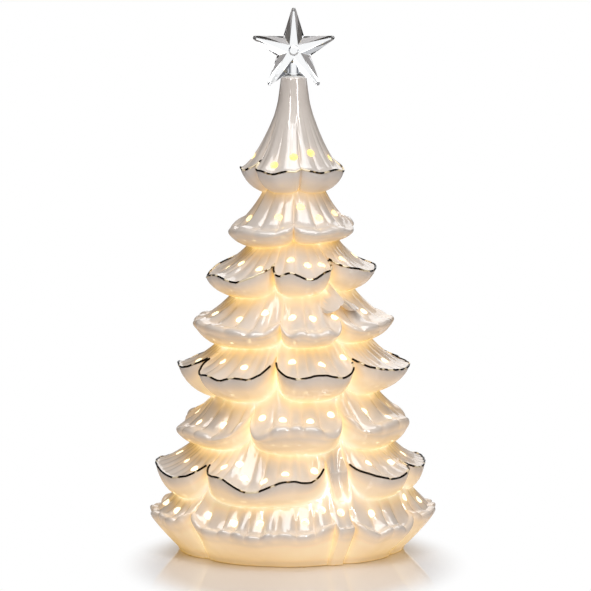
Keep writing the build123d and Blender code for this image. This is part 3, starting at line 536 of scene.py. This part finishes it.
# Pierced lights: one drill, copied to each hole and set square to the surface.
bpy.ops.object.select_all(action="DESELECT")
bpy.ops.mesh.primitive_cylinder_add(
    vertices=24, radius=PIERCED_R * MM, depth=DRILL_LENGTH * MM, location=(0, 0, 0))
drill = bpy.context.object
drill_points = [vertex.co.copy() for vertex in drill.data.vertices]
drills = []
hole_of = kdtree.KDTree(sum(len(tier.lights) for tier in TIERS))
for k, tier in enumerate(TIERS):
    for azimuth, t in tier.lights:
        angle = math.radians(azimuth)
        outward = Vector((math.sin(angle), -math.cos(angle), 0))
        r, z = upper(k, azimuth, t)
        r_above, z_above = upper(k, azimuth, t - 0.05, False)
        r_below, z_below = upper(k, azimuth, t + 0.05, False)
        normal = (outward * (z_above - z_below) + Vector((0, 0, r_below - r_above))).normalized()
        turn = normal.to_track_quat("Z", "Y")
        copy = drill.copy()
        copy.data = drill.data.copy()
        bpy.context.scene.collection.objects.link(copy)
        middle = (outward * r + Vector((0, 0, z)) - normal * DRILL_SET_IN) * MM
        for vertex, point in zip(copy.data.vertices, drill_points):
            vertex.co = middle + turn @ point
        hole_of.insert((outward * r + Vector((0, 0, z))) * MM, len(drills))
        drills.append(copy)
hole_of.balance()
bpy.data.objects.remove(drill)
bpy.ops.object.select_all(action="DESELECT")
for copy in drills:
    copy.select_set(True)
bpy.context.view_layer.objects.active = drills[0]
bpy.ops.object.join()
drill = bpy.context.object

# Glaze: milk-white and glossy, with a tone that differs at random. The lamplight that comes through it is
# painted on as a glow, peach where the wall is open and yellow in the creases and necks.
def new_material(name):
    material = bpy.data.materials.new(name)
    material.use_nodes = True
    nodes = material.node_tree.nodes
    return material, nodes, material.node_tree.links, nodes["Principled BSDF"]


def add_ramp(nodes, stops):
    ramp = nodes.new("ShaderNodeValToRGB")
    elements = ramp.color_ramp.elements
    while len(elements) < len(stops):
        elements.new(0.5)
    for element, (position, color) in zip(elements, stops):
        element.position = position
        element.color = (*color, 1.0)
    return ramp


def add_noise(nodes, links, coordinates, scale, detail):
    noise = nodes.new("ShaderNodeTexNoise")
    noise.inputs["Scale"].default_value = scale
    noise.inputs["Detail"].default_value = detail
    links.new(coordinates, noise.inputs["Vector"])
    return noise


def add_math(nodes, links, operation, *values):
    step = nodes.new("ShaderNodeMath")
    step.operation = operation
    for socket, value in zip(step.inputs, values):
        if isinstance(value, float):
            socket.default_value = value
        else:
            links.new(value, socket)
    return step.outputs["Value"]


def add_range(nodes, links, value, start, end, low=0.0, high=1.0, blend="LINEAR"):
    span = nodes.new("ShaderNodeMapRange")
    span.interpolation_type = blend
    span.inputs["From Min"].default_value = start
    span.inputs["From Max"].default_value = end
    span.inputs["To Min"].default_value = low
    span.inputs["To Max"].default_value = high
    links.new(value, span.inputs["Value"])
    return span.outputs["Result"]


glaze, nodes, links, shader = new_material("porcelain_glaze")
where = nodes.new("ShaderNodeTexCoord").outputs["Object"]
through = nodes.new("ShaderNodeAttribute")
through.attribute_name = "painted_glow"
cloud = add_noise(nodes, links, where, 45.0, 3.0)
tone = add_ramp(nodes, [(0.3, (0.70, 0.645, 0.60)), (0.7, (0.76, 0.705, 0.66))])
links.new(cloud.outputs["Fac"], tone.inputs["Fac"])
links.new(tone.outputs["Color"], shader.inputs["Base Color"])
# Painted glow: the shell's glow attribute, with a little noise, picks the emission colour.
spread = add_math(nodes, links, "SUBTRACT", through.outputs["Fac"], 0.08)
patch = add_math(nodes, links, "MULTIPLY_ADD", cloud.outputs["Fac"], 0.16, spread)
painted_lamplight = add_ramp(nodes, [
    (0.0, (0.0, 0.0, 0.0)), (0.12, (0.03, 0.018, 0.008)), (0.4, (0.22, 0.115, 0.015)),
    (0.6, (0.36, 0.205, 0.03)), (0.8, (0.46, 0.31, 0.10)), (1.0, (0.58, 0.44, 0.27))])
links.new(patch, painted_lamplight.inputs["Fac"])
links.new(painted_lamplight.outputs["Color"], shader.inputs["Emission Color"])
shader.inputs["Emission Strength"].default_value = 1.0
dimple = add_noise(nodes, links, where, 110.0, 2.0)
gloss = add_ramp(nodes, [(0.3, (0.04, 0.04, 0.04)), (0.75, (0.10, 0.10, 0.10))])
links.new(dimple.outputs["Fac"], gloss.inputs["Fac"])
links.new(gloss.outputs["Color"], shader.inputs["Roughness"])
ripple = nodes.new("ShaderNodeBump")
ripple.inputs["Strength"].default_value = 0.12
ripple.inputs["Distance"].default_value = 0.002
links.new(dimple.outputs["Fac"], ripple.inputs["Height"])
links.new(ripple.outputs["Normal"], shader.inputs["Normal"])
shader.inputs["IOR"].default_value = 2.0

# Bare lining: unglazed, with the lamplight that floods it painted on as a glow, yellow high up and near white
# low down.
bare, nodes, links, shader = new_material("bare_lining")
where = nodes.new("ShaderNodeTexCoord").outputs["Object"]
height = nodes.new("ShaderNodeSeparateXYZ")
links.new(where, height.inputs["Vector"])
level = add_range(nodes, links, height.outputs["Z"], 0.0, 0.27)
painted_flood = add_ramp(nodes, [(0.0, (1.0, 0.90, 0.62)), (0.55, (1.0, 0.90, 0.60)), (0.72, (1.0, 0.82, 0.34)),
                         (0.88, (0.93, 0.70, 0.12))])
links.new(level, painted_flood.inputs["Fac"])
links.new(painted_flood.outputs["Color"], shader.inputs["Emission Color"])
shader.inputs["Emission Strength"].default_value = 0.75
grit = add_noise(nodes, links, where, 900.0, 4.0)
biscuit = add_ramp(nodes, [(0.3, (0.75, 0.70, 0.63)), (0.7, (0.86, 0.82, 0.76))])
links.new(grit.outputs["Fac"], biscuit.inputs["Fac"])
links.new(biscuit.outputs["Color"], shader.inputs["Base Color"])
shader.inputs["Roughness"].default_value = 0.85

shell.data.materials.append(glaze)
shell.data.materials.append(bare)
rough_row = [part in ("lining", "seat") for part, k, t in row_place]
for polygon in shell.data.polygons:
    if sum(rough_row[row_of[v]] for v in polygon.vertices) >= 3:
        polygon.material_index = 1
# The hole walls take the lining's painted glow too.
drill.data.materials.clear()
drill.data.materials.append(glaze)
drill.data.materials.append(bare)
for polygon in drill.data.polygons:
    polygon.material_index = 1
bpy.ops.object.select_all(action="DESELECT")
shell.select_set(True)
bpy.context.view_layer.objects.active = shell
piercing = shell.modifiers.new("piercing", "BOOLEAN")
piercing.operation = "DIFFERENCE"
piercing.solver = "MANIFOLD"
piercing.object = drill
bpy.ops.object.modifier_apply(modifier="piercing")
bpy.data.objects.remove(drill)
shell.vertex_groups.clear()
for name in ("row", "column"):
    if name in shell.data.attributes:
        shell.data.attributes.remove(shell.data.attributes[name])
bpy.ops.object.shade_smooth_by_angle(angle=math.radians(42))
# The painted glow is copied onto the pierced shell and brightened around each pierced hole.
attribute = shell.data.attributes.new("painted_glow", "FLOAT", "POINT")
values = []
for vertex in shell.data.vertices:
    glow = glow_values[glow_of.find(vertex.co)[1]]
    off = hole_of.find(vertex.co)[2] / (PIERCED_R * MM)
    values.append(min(1.0, glow + HOLE_LIGHT * math.exp(-((off / HOLE_LIGHT_SPREAD) ** 2))))
attribute.data.foreach_set("value", values)
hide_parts("tree_body")
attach(shell, "tree")

# Gilt rims: bright gold lustre brushed by hand along the rims of every other tier and fired on. The line is
# thin and breaks at the valleys; its colour is a painted dark reflection with painted cream glints in dashes.
GILT_R = 0.65
GILT_SINK = 0.25
GILT_START_FULLNESS = 0.1
GILT_END_FULLNESS = 0.3

gilt, nodes, links, shader = new_material("gold_lustre")
where = nodes.new("ShaderNodeTexCoord").outputs["Object"]
painted_glint_noise = add_noise(nodes, links, where, 150.0, 1.0)
height = nodes.new("ShaderNodeSeparateXYZ")
links.new(where, height.inputs["Vector"])
# The higher rims get more painted glints, and the painted glints are less metallic.
level = add_range(nodes, links, height.outputs["Z"], 0.12, 0.22, -0.03, 0.07)
bright = add_math(nodes, links, "ADD", painted_glint_noise.outputs["Fac"], level)
painted_glint_colour = add_ramp(nodes, [
    (0.53, (0.012, 0.009, 0.006)), (0.56, (0.30, 0.19, 0.08)), (0.58, (0.90, 0.78, 0.55))])
links.new(bright, painted_glint_colour.inputs["Fac"])
links.new(painted_glint_colour.outputs["Color"], shader.inputs["Base Color"])
metal = add_ramp(nodes, [(0.55, (1.0, 1.0, 1.0)), (0.59, (0.2, 0.2, 0.2))])
links.new(bright, metal.inputs["Fac"])
links.new(metal.outputs["Color"], shader.inputs["Metallic"])
streak = add_noise(nodes, links, where, 600.0, 3.0)
wear = add_ramp(nodes, [(0.3, (0.10, 0.10, 0.10)), (0.8, (0.26, 0.26, 0.26))])
links.new(streak.outputs["Fac"], wear.inputs["Fac"])
links.new(wear.outputs["Color"], shader.inputs["Roughness"])

for k, line in rim_lines.items():
    bpy.ops.object.select_all(action="DESELECT")
    bpy.ops.mesh.primitive_circle_add(vertices=COLUMNS, radius=0.05, location=(0, 0, 0))
    trim = bpy.context.object
    trim.name = "gilt_rim_" + str(k + 1)
    trim.data.name = trim.name
    for vertex, point in zip(trim.data.vertices, line):
        inward = Vector((-point.x, -point.y, 0)).normalized()
        vertex.co = point + inward * GILT_SINK * MM
    bare_spots = []
    for azimuth in AZIMUTHS:
        index, u, width = bough_at(TIERS[k], azimuth)
        least = GILT_START_FULLNESS if u < 0.5 else GILT_END_FULLNESS
        bare_spots.append(fullness(k, azimuth) < least or width < NARROW_BOUGH)
    bpy.ops.object.mode_set(mode="EDIT")
    bpy.ops.mesh.select_mode(type="VERT")
    bpy.ops.mesh.select_all(action="DESELECT")
    bpy.ops.object.mode_set(mode="OBJECT")
    for vertex, gone in zip(trim.data.vertices, bare_spots):
        vertex.select = gone
    bpy.ops.object.mode_set(mode="EDIT")
    bpy.ops.mesh.delete(type="VERT")
    bpy.ops.object.mode_set(mode="OBJECT")
    bpy.ops.object.convert(target="CURVE")
    trim.data.bevel_depth = GILT_R * MM
    trim.data.bevel_resolution = 2
    trim.data.use_fill_caps = True
    bpy.ops.object.convert(target="MESH")
    trim = bpy.context.object
    bpy.ops.object.shade_smooth()
    trim.data.materials.clear()
    trim.data.materials.append(gilt)
    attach(trim, "tree")

# Star: clear acrylic, faceted alike on both faces and moulded in one with its peg and collar.
# The peg stands in the soft bush in the neck, so the star can be turned or lifted out.
STAR_Z = 299.8
STAR_R = 25.6
STAR_NOTCH_R = 10.5
STAR_TIP_ROUND = 1.3
STAR_GIRDLE = 1.0
STAR_HALF_T = 5.2
FACE_R = 23.6
FACE_NOTCH_R = 4.4
FACE_TIP_ROUND = 0.6
TIP_POINTS = 5
TIP_SWEEP = 140.0
PEG_R = 4.0
PEG_LOW = 273.5
PEG_HIGH = 292.4
COLLAR_R = 5.6
COLLAR_LOW = 284.8
COLLAR_T = 1.5
PEG_SIDES = 48
ROSE_R = 3.2
ROSE_FLOOR_R = 2.4
ROSE_DEPTH = 0.9
ROSE_PETALS = 10
STAR_EDGE = 0.12


def star_ring(tip_r, tip_round, notch_r, y):
    points = []
    for arm in range(5):
        turn = math.radians(72 * arm)
        for j in range(TIP_POINTS):
            lean = turn + math.radians(TIP_SWEEP * (j / (TIP_POINTS - 1) - 0.5))
            x = (tip_r - tip_round) * math.sin(turn) + tip_round * math.sin(lean)
            z = (tip_r - tip_round) * math.cos(turn) + tip_round * math.cos(lean)
            points.append((x, y, STAR_Z + z))
        notch = turn + math.radians(36)
        points.append((notch_r * math.sin(notch), y, STAR_Z + notch_r * math.cos(notch)))
    return points


star_rings = [
    star_ring(FACE_R, FACE_TIP_ROUND, FACE_NOTCH_R, -STAR_HALF_T),
    star_ring(STAR_R, STAR_TIP_ROUND, STAR_NOTCH_R, -STAR_GIRDLE),
    star_ring(STAR_R, STAR_TIP_ROUND, STAR_NOTCH_R, STAR_GIRDLE),
    star_ring(FACE_R, FACE_TIP_ROUND, FACE_NOTCH_R, STAR_HALF_T),
]
spots = len(star_rings[0])
bpy.ops.object.select_all(action="DESELECT")
bpy.ops.mesh.primitive_grid_add(x_subdivisions=spots, y_subdivisions=3, size=0.05, location=(0, 0, 0))
star = bpy.context.object
star.name = "crystal_star"
star.data.name = "crystal_star"
places = []
for points in star_rings:
    for i in range(spots + 1):
        places.extend(value * MM for value in points[i % spots])
star.data.vertices.foreach_set("co", places)
star.data.update()
bpy.ops.object.mode_set(mode="EDIT")
bpy.ops.mesh.select_all(action="SELECT")
bpy.ops.mesh.remove_doubles(threshold=0.000001)
bpy.ops.mesh.fill_holes(sides=0)
bpy.ops.mesh.select_all(action="SELECT")
bpy.ops.mesh.normals_make_consistent(inside=False)
bpy.ops.object.mode_set(mode="OBJECT")
softened = star.modifiers.new("softened", "BEVEL")
softened.width = STAR_EDGE * MM
softened.segments = 1
softened.limit_method = "ANGLE"
softened.angle_limit = math.radians(12)
bpy.ops.object.modifier_apply(modifier="softened")


def join_solid(piece, operation):
    tool = bpy.context.object
    bpy.ops.object.transform_apply(location=True, rotation=True, scale=True)
    bpy.ops.object.select_all(action="DESELECT")
    piece.select_set(True)
    bpy.context.view_layer.objects.active = piece
    cut = piece.modifiers.new("cut", "BOOLEAN")
    cut.operation = operation
    cut.solver = "EXACT"
    cut.object = tool
    bpy.ops.object.modifier_apply(modifier="cut")
    bpy.data.objects.remove(tool)


for r, low, high in ((PEG_R, PEG_LOW, PEG_HIGH), (COLLAR_R, COLLAR_LOW, COLLAR_LOW + COLLAR_T)):
    bpy.ops.object.select_all(action="DESELECT")
    bpy.ops.mesh.primitive_cylinder_add(
        vertices=PEG_SIDES, radius=r * MM, depth=(high - low) * MM, location=(0, 0, (low + high) / 2 * MM))
    join_solid(star, "UNION")
for side in (-1, 1):
    bpy.ops.object.select_all(action="DESELECT")
    bpy.ops.mesh.primitive_cone_add(
        vertices=ROSE_PETALS, radius1=ROSE_FLOOR_R * MM, radius2=(2 * ROSE_R - ROSE_FLOOR_R) * MM,
        depth=2 * ROSE_DEPTH * MM, location=(0, side * STAR_HALF_T * MM, STAR_Z * MM),
        rotation=(-side * math.pi / 2, 0, 0))
    join_solid(star, "DIFFERENCE")
bpy.ops.object.shade_smooth_by_angle(angle=math.radians(18))

clear, nodes, links, shader = new_material("clear_acrylic")
where = nodes.new("ShaderNodeTexCoord").outputs["Object"]
flow = add_noise(nodes, links, where, 60.0, 2.0)
polish = add_ramp(nodes, [(0.3, (0.0, 0.0, 0.0)), (0.8, (0.03, 0.03, 0.03))])
links.new(flow.outputs["Fac"], polish.inputs["Fac"])
links.new(polish.outputs["Color"], shader.inputs["Roughness"])
shader.inputs["Base Color"].default_value = (0.97, 0.98, 0.99, 1.0)
shader.inputs["Transmission Weight"].default_value = 1.0
shader.inputs["IOR"].default_value = 1.49
star.data.materials.clear()
star.data.materials.append(clear)
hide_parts("star_topper")
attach(star, "star")


# Soft parts: the silicone bush pushed into the neck, which grips the star's peg, and the rubber
# ring that seals the lamp base in the foot. Both are moulded, with a fine matt grain.
def grain_group():
    group = bpy.data.node_groups.new("fine_grain", "ShaderNodeTree")
    face = group.interface
    face.new_socket("Scale", in_out="INPUT", socket_type="NodeSocketFloat")
    face.new_socket("Dark", in_out="INPUT", socket_type="NodeSocketColor")
    face.new_socket("Light", in_out="INPUT", socket_type="NodeSocketColor")
    face.new_socket("Smooth", in_out="INPUT", socket_type="NodeSocketFloat")
    face.new_socket("Rough", in_out="INPUT", socket_type="NodeSocketFloat")
    face.new_socket("Color", in_out="OUTPUT", socket_type="NodeSocketColor")
    face.new_socket("Roughness", in_out="OUTPUT", socket_type="NodeSocketFloat")
    face.new_socket("Height", in_out="OUTPUT", socket_type="NodeSocketFloat")
    nodes, links = group.nodes, group.links
    enter, leave = nodes.new("NodeGroupInput"), nodes.new("NodeGroupOutput")
    coordinates = nodes.new("ShaderNodeTexCoord")
    noise = nodes.new("ShaderNodeTexNoise")
    noise.inputs["Detail"].default_value = 4.0
    links.new(coordinates.outputs["Object"], noise.inputs["Vector"])
    links.new(enter.outputs["Scale"], noise.inputs["Scale"])
    mix = nodes.new("ShaderNodeMix")
    mix.data_type = "RGBA"
    links.new(noise.outputs["Fac"], mix.inputs["Factor"])
    links.new(enter.outputs["Dark"], mix.inputs["A"])
    links.new(enter.outputs["Light"], mix.inputs["B"])
    between = nodes.new("ShaderNodeMapRange")
    links.new(noise.outputs["Fac"], between.inputs["Value"])
    links.new(enter.outputs["Smooth"], between.inputs["To Min"])
    links.new(enter.outputs["Rough"], between.inputs["To Max"])
    links.new(mix.outputs["Result"], leave.inputs["Color"])
    links.new(between.outputs["Result"], leave.inputs["Roughness"])
    links.new(noise.outputs["Fac"], leave.inputs["Height"])
    return group


fine_grain = grain_group()


def grained(name, scale, dark, light, smooth, rough, metal=0.0, bump=0.05):
    material, nodes, links, shader = new_material(name)
    grain = nodes.new("ShaderNodeGroup")
    grain.node_tree = fine_grain
    grain.inputs["Scale"].default_value = scale
    grain.inputs["Dark"].default_value = (*dark, 1.0)
    grain.inputs["Light"].default_value = (*light, 1.0)
    grain.inputs["Smooth"].default_value = smooth
    grain.inputs["Rough"].default_value = rough
    links.new(grain.outputs["Color"], shader.inputs["Base Color"])
    links.new(grain.outputs["Roughness"], shader.inputs["Roughness"])
    relief = nodes.new("ShaderNodeBump")
    relief.inputs["Strength"].default_value = bump
    relief.inputs["Distance"].default_value = 0.0005
    links.new(grain.outputs["Height"], relief.inputs["Height"])
    links.new(relief.outputs["Normal"], shader.inputs["Normal"])
    shader.inputs["Metallic"].default_value = metal
    return material, shader


def dress(material, *node_names):
    for node_name in node_names:
        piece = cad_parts[node_name]
        piece.data.materials.clear()
        piece.data.materials.append(material)


soft_silicone, shader = grained("soft_silicone", 900, (0.78, 0.79, 0.79), (0.88, 0.89, 0.89), 0.35, 0.5)
dress(soft_silicone, "star_bush")
seal_rubber, shader = grained("seal_rubber", 700, (0.48, 0.48, 0.48), (0.62, 0.62, 0.62), 0.5, 0.7)
dress(seal_rubber, "seal_ring")

# Lamp base: a white plastic flange with the battery tub, moulded in one and set in the foot, and
# the battery door that hangs on two pins in it.
white_moulding, shader = grained(
    "white_moulding", 1400, (0.80, 0.80, 0.78), (0.90, 0.90, 0.88), 0.38, 0.6, bump=0.2)
dress(white_moulding, "light_base", "battery_door")

# Cells and contacts: three wrapped cells in the tub, between stamped and nickel-plated plates and
# leaf springs that link them and lead up to the board.
cell_wrap, shader = grained("cell_wrap", 250, (0.16, 0.17, 0.19), (0.30, 0.31, 0.33), 0.25, 0.42)
dress(cell_wrap, "aa_cell_1", "aa_cell_2", "aa_cell_3")
nickel_plate, shader = grained(
    "nickel_plate", 500, (0.60, 0.59, 0.56), (0.78, 0.77, 0.74), 0.2, 0.38, metal=1.0)
dress(nickel_plate, "terminal_plus_plate", "terminal_minus_plate", "link_plate_left", "link_plate_right",
      "contact_springs")

# Light unit: a board screwed to the tub's posts, with its chip and resistors, and a mast of two
# crossed white boards. Small warm lamps sit on the board and up the four sides of the mast.
masked_board, shader = grained("masked_board", 600, (0.74, 0.74, 0.70), (0.84, 0.84, 0.80), 0.3, 0.45)
dress(masked_board, "control_board")
white_board, shader = grained("white_board", 600, (0.80, 0.80, 0.80), (0.90, 0.90, 0.90), 0.35, 0.5)
dress(white_board, "mast_board_wide", "mast_board_narrow")
zinc_plate, shader = grained(
    "zinc_plate", 900, (0.48, 0.49, 0.50), (0.66, 0.67, 0.68), 0.25, 0.45, metal=1.0)
dress(zinc_plate, "board_screws")
black_epoxy, shader = grained(
    "black_epoxy", 1800, (0.025, 0.025, 0.025), (0.06, 0.06, 0.06), 0.5, 0.7, bump=0.2)
dress(black_epoxy, "timer_chip", "board_resistors")
lamp_lens, shader = grained("lamp_lens", 500, (0.95, 0.78, 0.42), (1.0, 0.88, 0.58), 0.15, 0.3)
shader.inputs["Emission Color"].default_value = (1.0, 0.78, 0.38, 1.0)
shader.inputs["Emission Strength"].default_value = 2.0
dress(lamp_lens, "board_leds", "mast_leds")

# Slide switch: a folded nickel-plated frame on a black moulded base, with a black knob that shows
# in the base's slot, and two leads in red sleeves soldered from its legs to the board.
dress(nickel_plate, "switch_frame", "switch_terminals")
black_moulding, shader = grained(
    "black_moulding", 1400, (0.035, 0.035, 0.035), (0.075, 0.075, 0.075), 0.4, 0.6)
dress(black_moulding, "switch_base", "switch_knob")
red_sleeve, shader = grained("red_sleeve", 800, (0.45, 0.03, 0.025), (0.65, 0.06, 0.05), 0.45, 0.6)
dress(red_sleeve, "switch_leads")


# Floor: a pale glossy sheet that mirrors the foot, under plain soft studio lamps. It shows from
# above only and is open under the foot, so that the underside can be looked at from below.
FLOOR_R = 8.0
FLOOR_DROP = 0.05
FLOOR_LAP = 2.5
FADE_START = 0.07
FADE_END = 0.105
FADE_STRETCH = (1.0, 0.7, 1.0)
FADE_SHIFT = (0.0, 0.035, 0.0)

floor_material, nodes, links, shader = new_material("pale_floor")
where = nodes.new("ShaderNodeTexCoord").outputs["Object"]
haze = add_noise(nodes, links, where, 3.0, 2.0)
paleness = add_ramp(nodes, [(0.3, (0.76, 0.74, 0.75)), (0.7, (0.80, 0.78, 0.79))])
links.new(haze.outputs["Fac"], paleness.inputs["Fac"])
links.new(paleness.outputs["Color"], shader.inputs["Base Color"])
shader.inputs["Roughness"].default_value = 0.02
centred = nodes.new("ShaderNodeVectorMath")
centred.operation = "MULTIPLY_ADD"
centred.inputs[1].default_value = FADE_STRETCH
centred.inputs[2].default_value = FADE_SHIFT
links.new(where, centred.inputs[0])
length = nodes.new("ShaderNodeVectorMath")
length.operation = "LENGTH"
links.new(centred.outputs["Vector"], length.inputs[0])
far = add_range(nodes, links, length.outputs["Value"], FADE_START, FADE_END, blend="SMOOTHSTEP")
ray = nodes.new("ShaderNodeLightPath")
shown = add_math(nodes, links, "MULTIPLY", far, ray.outputs["Is Camera Ray"])
white = nodes.new("ShaderNodeEmission")
fade = nodes.new("ShaderNodeMixShader")
links.new(shown, fade.inputs["Fac"])
links.new(shader.outputs["BSDF"], fade.inputs[1])
links.new(white.outputs["Emission"], fade.inputs[2])
one_sided = nodes.new("ShaderNodeMixShader")
links.new(nodes.new("ShaderNodeNewGeometry").outputs["Backfacing"], one_sided.inputs["Fac"])
links.new(fade.outputs["Shader"], one_sided.inputs[1])
links.new(nodes.new("ShaderNodeBsdfTransparent").outputs["BSDF"], one_sided.inputs[2])
links.new(one_sided.outputs["Shader"], nodes["Material Output"].inputs["Surface"])
bpy.ops.object.select_all(action="DESELECT")
bpy.ops.mesh.primitive_circle_add(vertices=COLUMNS, radius=FLOOR_R, location=(0, 0, -FLOOR_DROP * MM))
floor = bpy.context.object
floor.name = "floor"
bpy.ops.object.mode_set(mode="EDIT")
bpy.ops.mesh.select_all(action="SELECT")
bpy.ops.mesh.extrude_region_move()
bpy.ops.object.mode_set(mode="OBJECT")
for vertex in floor.data.vertices:
    if vertex.select:
        angle = math.atan2(vertex.co.x, -vertex.co.y)
        opening_r = (neck(LAST, math.degrees(angle) % 360)[0] - FLOOR_LAP) * MM
        vertex.co = (opening_r * math.sin(angle), -opening_r * math.cos(angle), 0)
floor.data.update()
if floor.data.polygons[0].normal.z < 0:
    floor.data.flip_normals()
floor.data.materials.append(floor_material)


def soft_lamp(name, place, aim, size, power):
    lamp_data = bpy.data.lights.new(name, "AREA")
    lamp_data.shape = "RECTANGLE"
    lamp_data.size, lamp_data.size_y = size
    lamp_data.energy = power
    lamp = bpy.data.objects.new(name, lamp_data)
    bpy.context.scene.collection.objects.link(lamp)
    lamp.location = place
    lamp.rotation_euler = (Vector(aim) - Vector(place)).to_track_quat("-Z", "Y").to_euler()


soft_lamp("lamp_left", (-0.75, -1.6, 1.2), (0, 0, 0.15), (0.25, 1.0), 5)
soft_lamp("lamp_right", (0.85, -1.5, 1.0), (0, 0, 0.15), (0.25, 1.0), 8)
soft_lamp("lamp_top", (0, -0.5, 1.6), (0, 0, 0.15), (1.6, 1.6), 19)
soft_lamp("lamp_back", (0.3, 1.9, 1.3), (0, 0, 0.15), (1.4, 1.4), 9)
soft_lamp("lamp_below", (0.2, -0.3, -0.9), (0, 0, 0), (0.6, 0.6), 6)

# The room: white behind the tree and pale over the camera, with black flags at both sides that
# draw dark edges on the glaze and the star.
world = bpy.data.worlds.new("white_studio")
bpy.context.scene.world = world
world.use_nodes = True
nodes, links = world.node_tree.nodes, world.node_tree.links
ray = nodes.new("ShaderNodeLightPath")
direction = nodes.new("ShaderNodeSeparateXYZ")
links.new(nodes.new("ShaderNodeTexCoord").outputs["Generated"], direction.inputs["Vector"])
sideways = add_math(nodes, links, "ABSOLUTE", direction.outputs["X"])
behind = add_range(nodes, links, direction.outputs["Y"], 0.975, 0.988, 0.02, 1.0, "SMOOTHSTEP")
front = add_range(nodes, links, direction.outputs["Y"], 0.0, 0.2, 1.0, 0.0, "SMOOTHSTEP")
above = add_range(nodes, links, direction.outputs["Z"], 0.3, 0.7, 0.25, 1.0, "SMOOTHSTEP")
gap = add_range(nodes, links, sideways, 0.2, 0.35, 1.0, 0.02, "SMOOTHSTEP")
overhead = add_math(nodes, links, "MULTIPLY", front, above)
between_flags = add_math(nodes, links, "MULTIPLY", overhead, gap)
on_glaze = add_math(nodes, links, "MAXIMUM", behind, between_flags)
in_glass = add_ramp(nodes, [(0.2, (1.0, 1.0, 1.0)), (0.3, (0.5, 0.51, 0.53)), (0.42, (0.05, 0.05, 0.06)),
                            (0.5, (0.35, 0.36, 0.38)), (0.7, (0.75, 0.76, 0.78)), (0.9, (0.2, 0.2, 0.2))])
links.new(sideways, in_glass.inputs["Fac"])
ambient = nodes.new("ShaderNodeMix")
ambient.data_type = "RGBA"
ambient.inputs["A"].default_value = (0.10, 0.08, 0.06, 1.0)
links.new(ray.outputs["Is Glossy Ray"], ambient.inputs["Factor"])
links.new(on_glaze, ambient.inputs["B"])
glass = nodes.new("ShaderNodeMix")
glass.data_type = "RGBA"
links.new(ray.outputs["Is Transmission Ray"], glass.inputs["Factor"])
links.new(ambient.outputs["Result"], glass.inputs["A"])
links.new(in_glass.outputs["Color"], glass.inputs["B"])
seen = nodes.new("ShaderNodeMix")
seen.data_type = "RGBA"
links.new(ray.outputs["Is Camera Ray"], seen.inputs["Factor"])
links.new(glass.outputs["Result"], seen.inputs["A"])
seen.inputs["B"].default_value = (1.0, 1.0, 1.0, 1.0)
links.new(seen.outputs["Result"], nodes["Background"].inputs["Color"])
bpy.context.scene.view_settings.view_transform = "Standard"
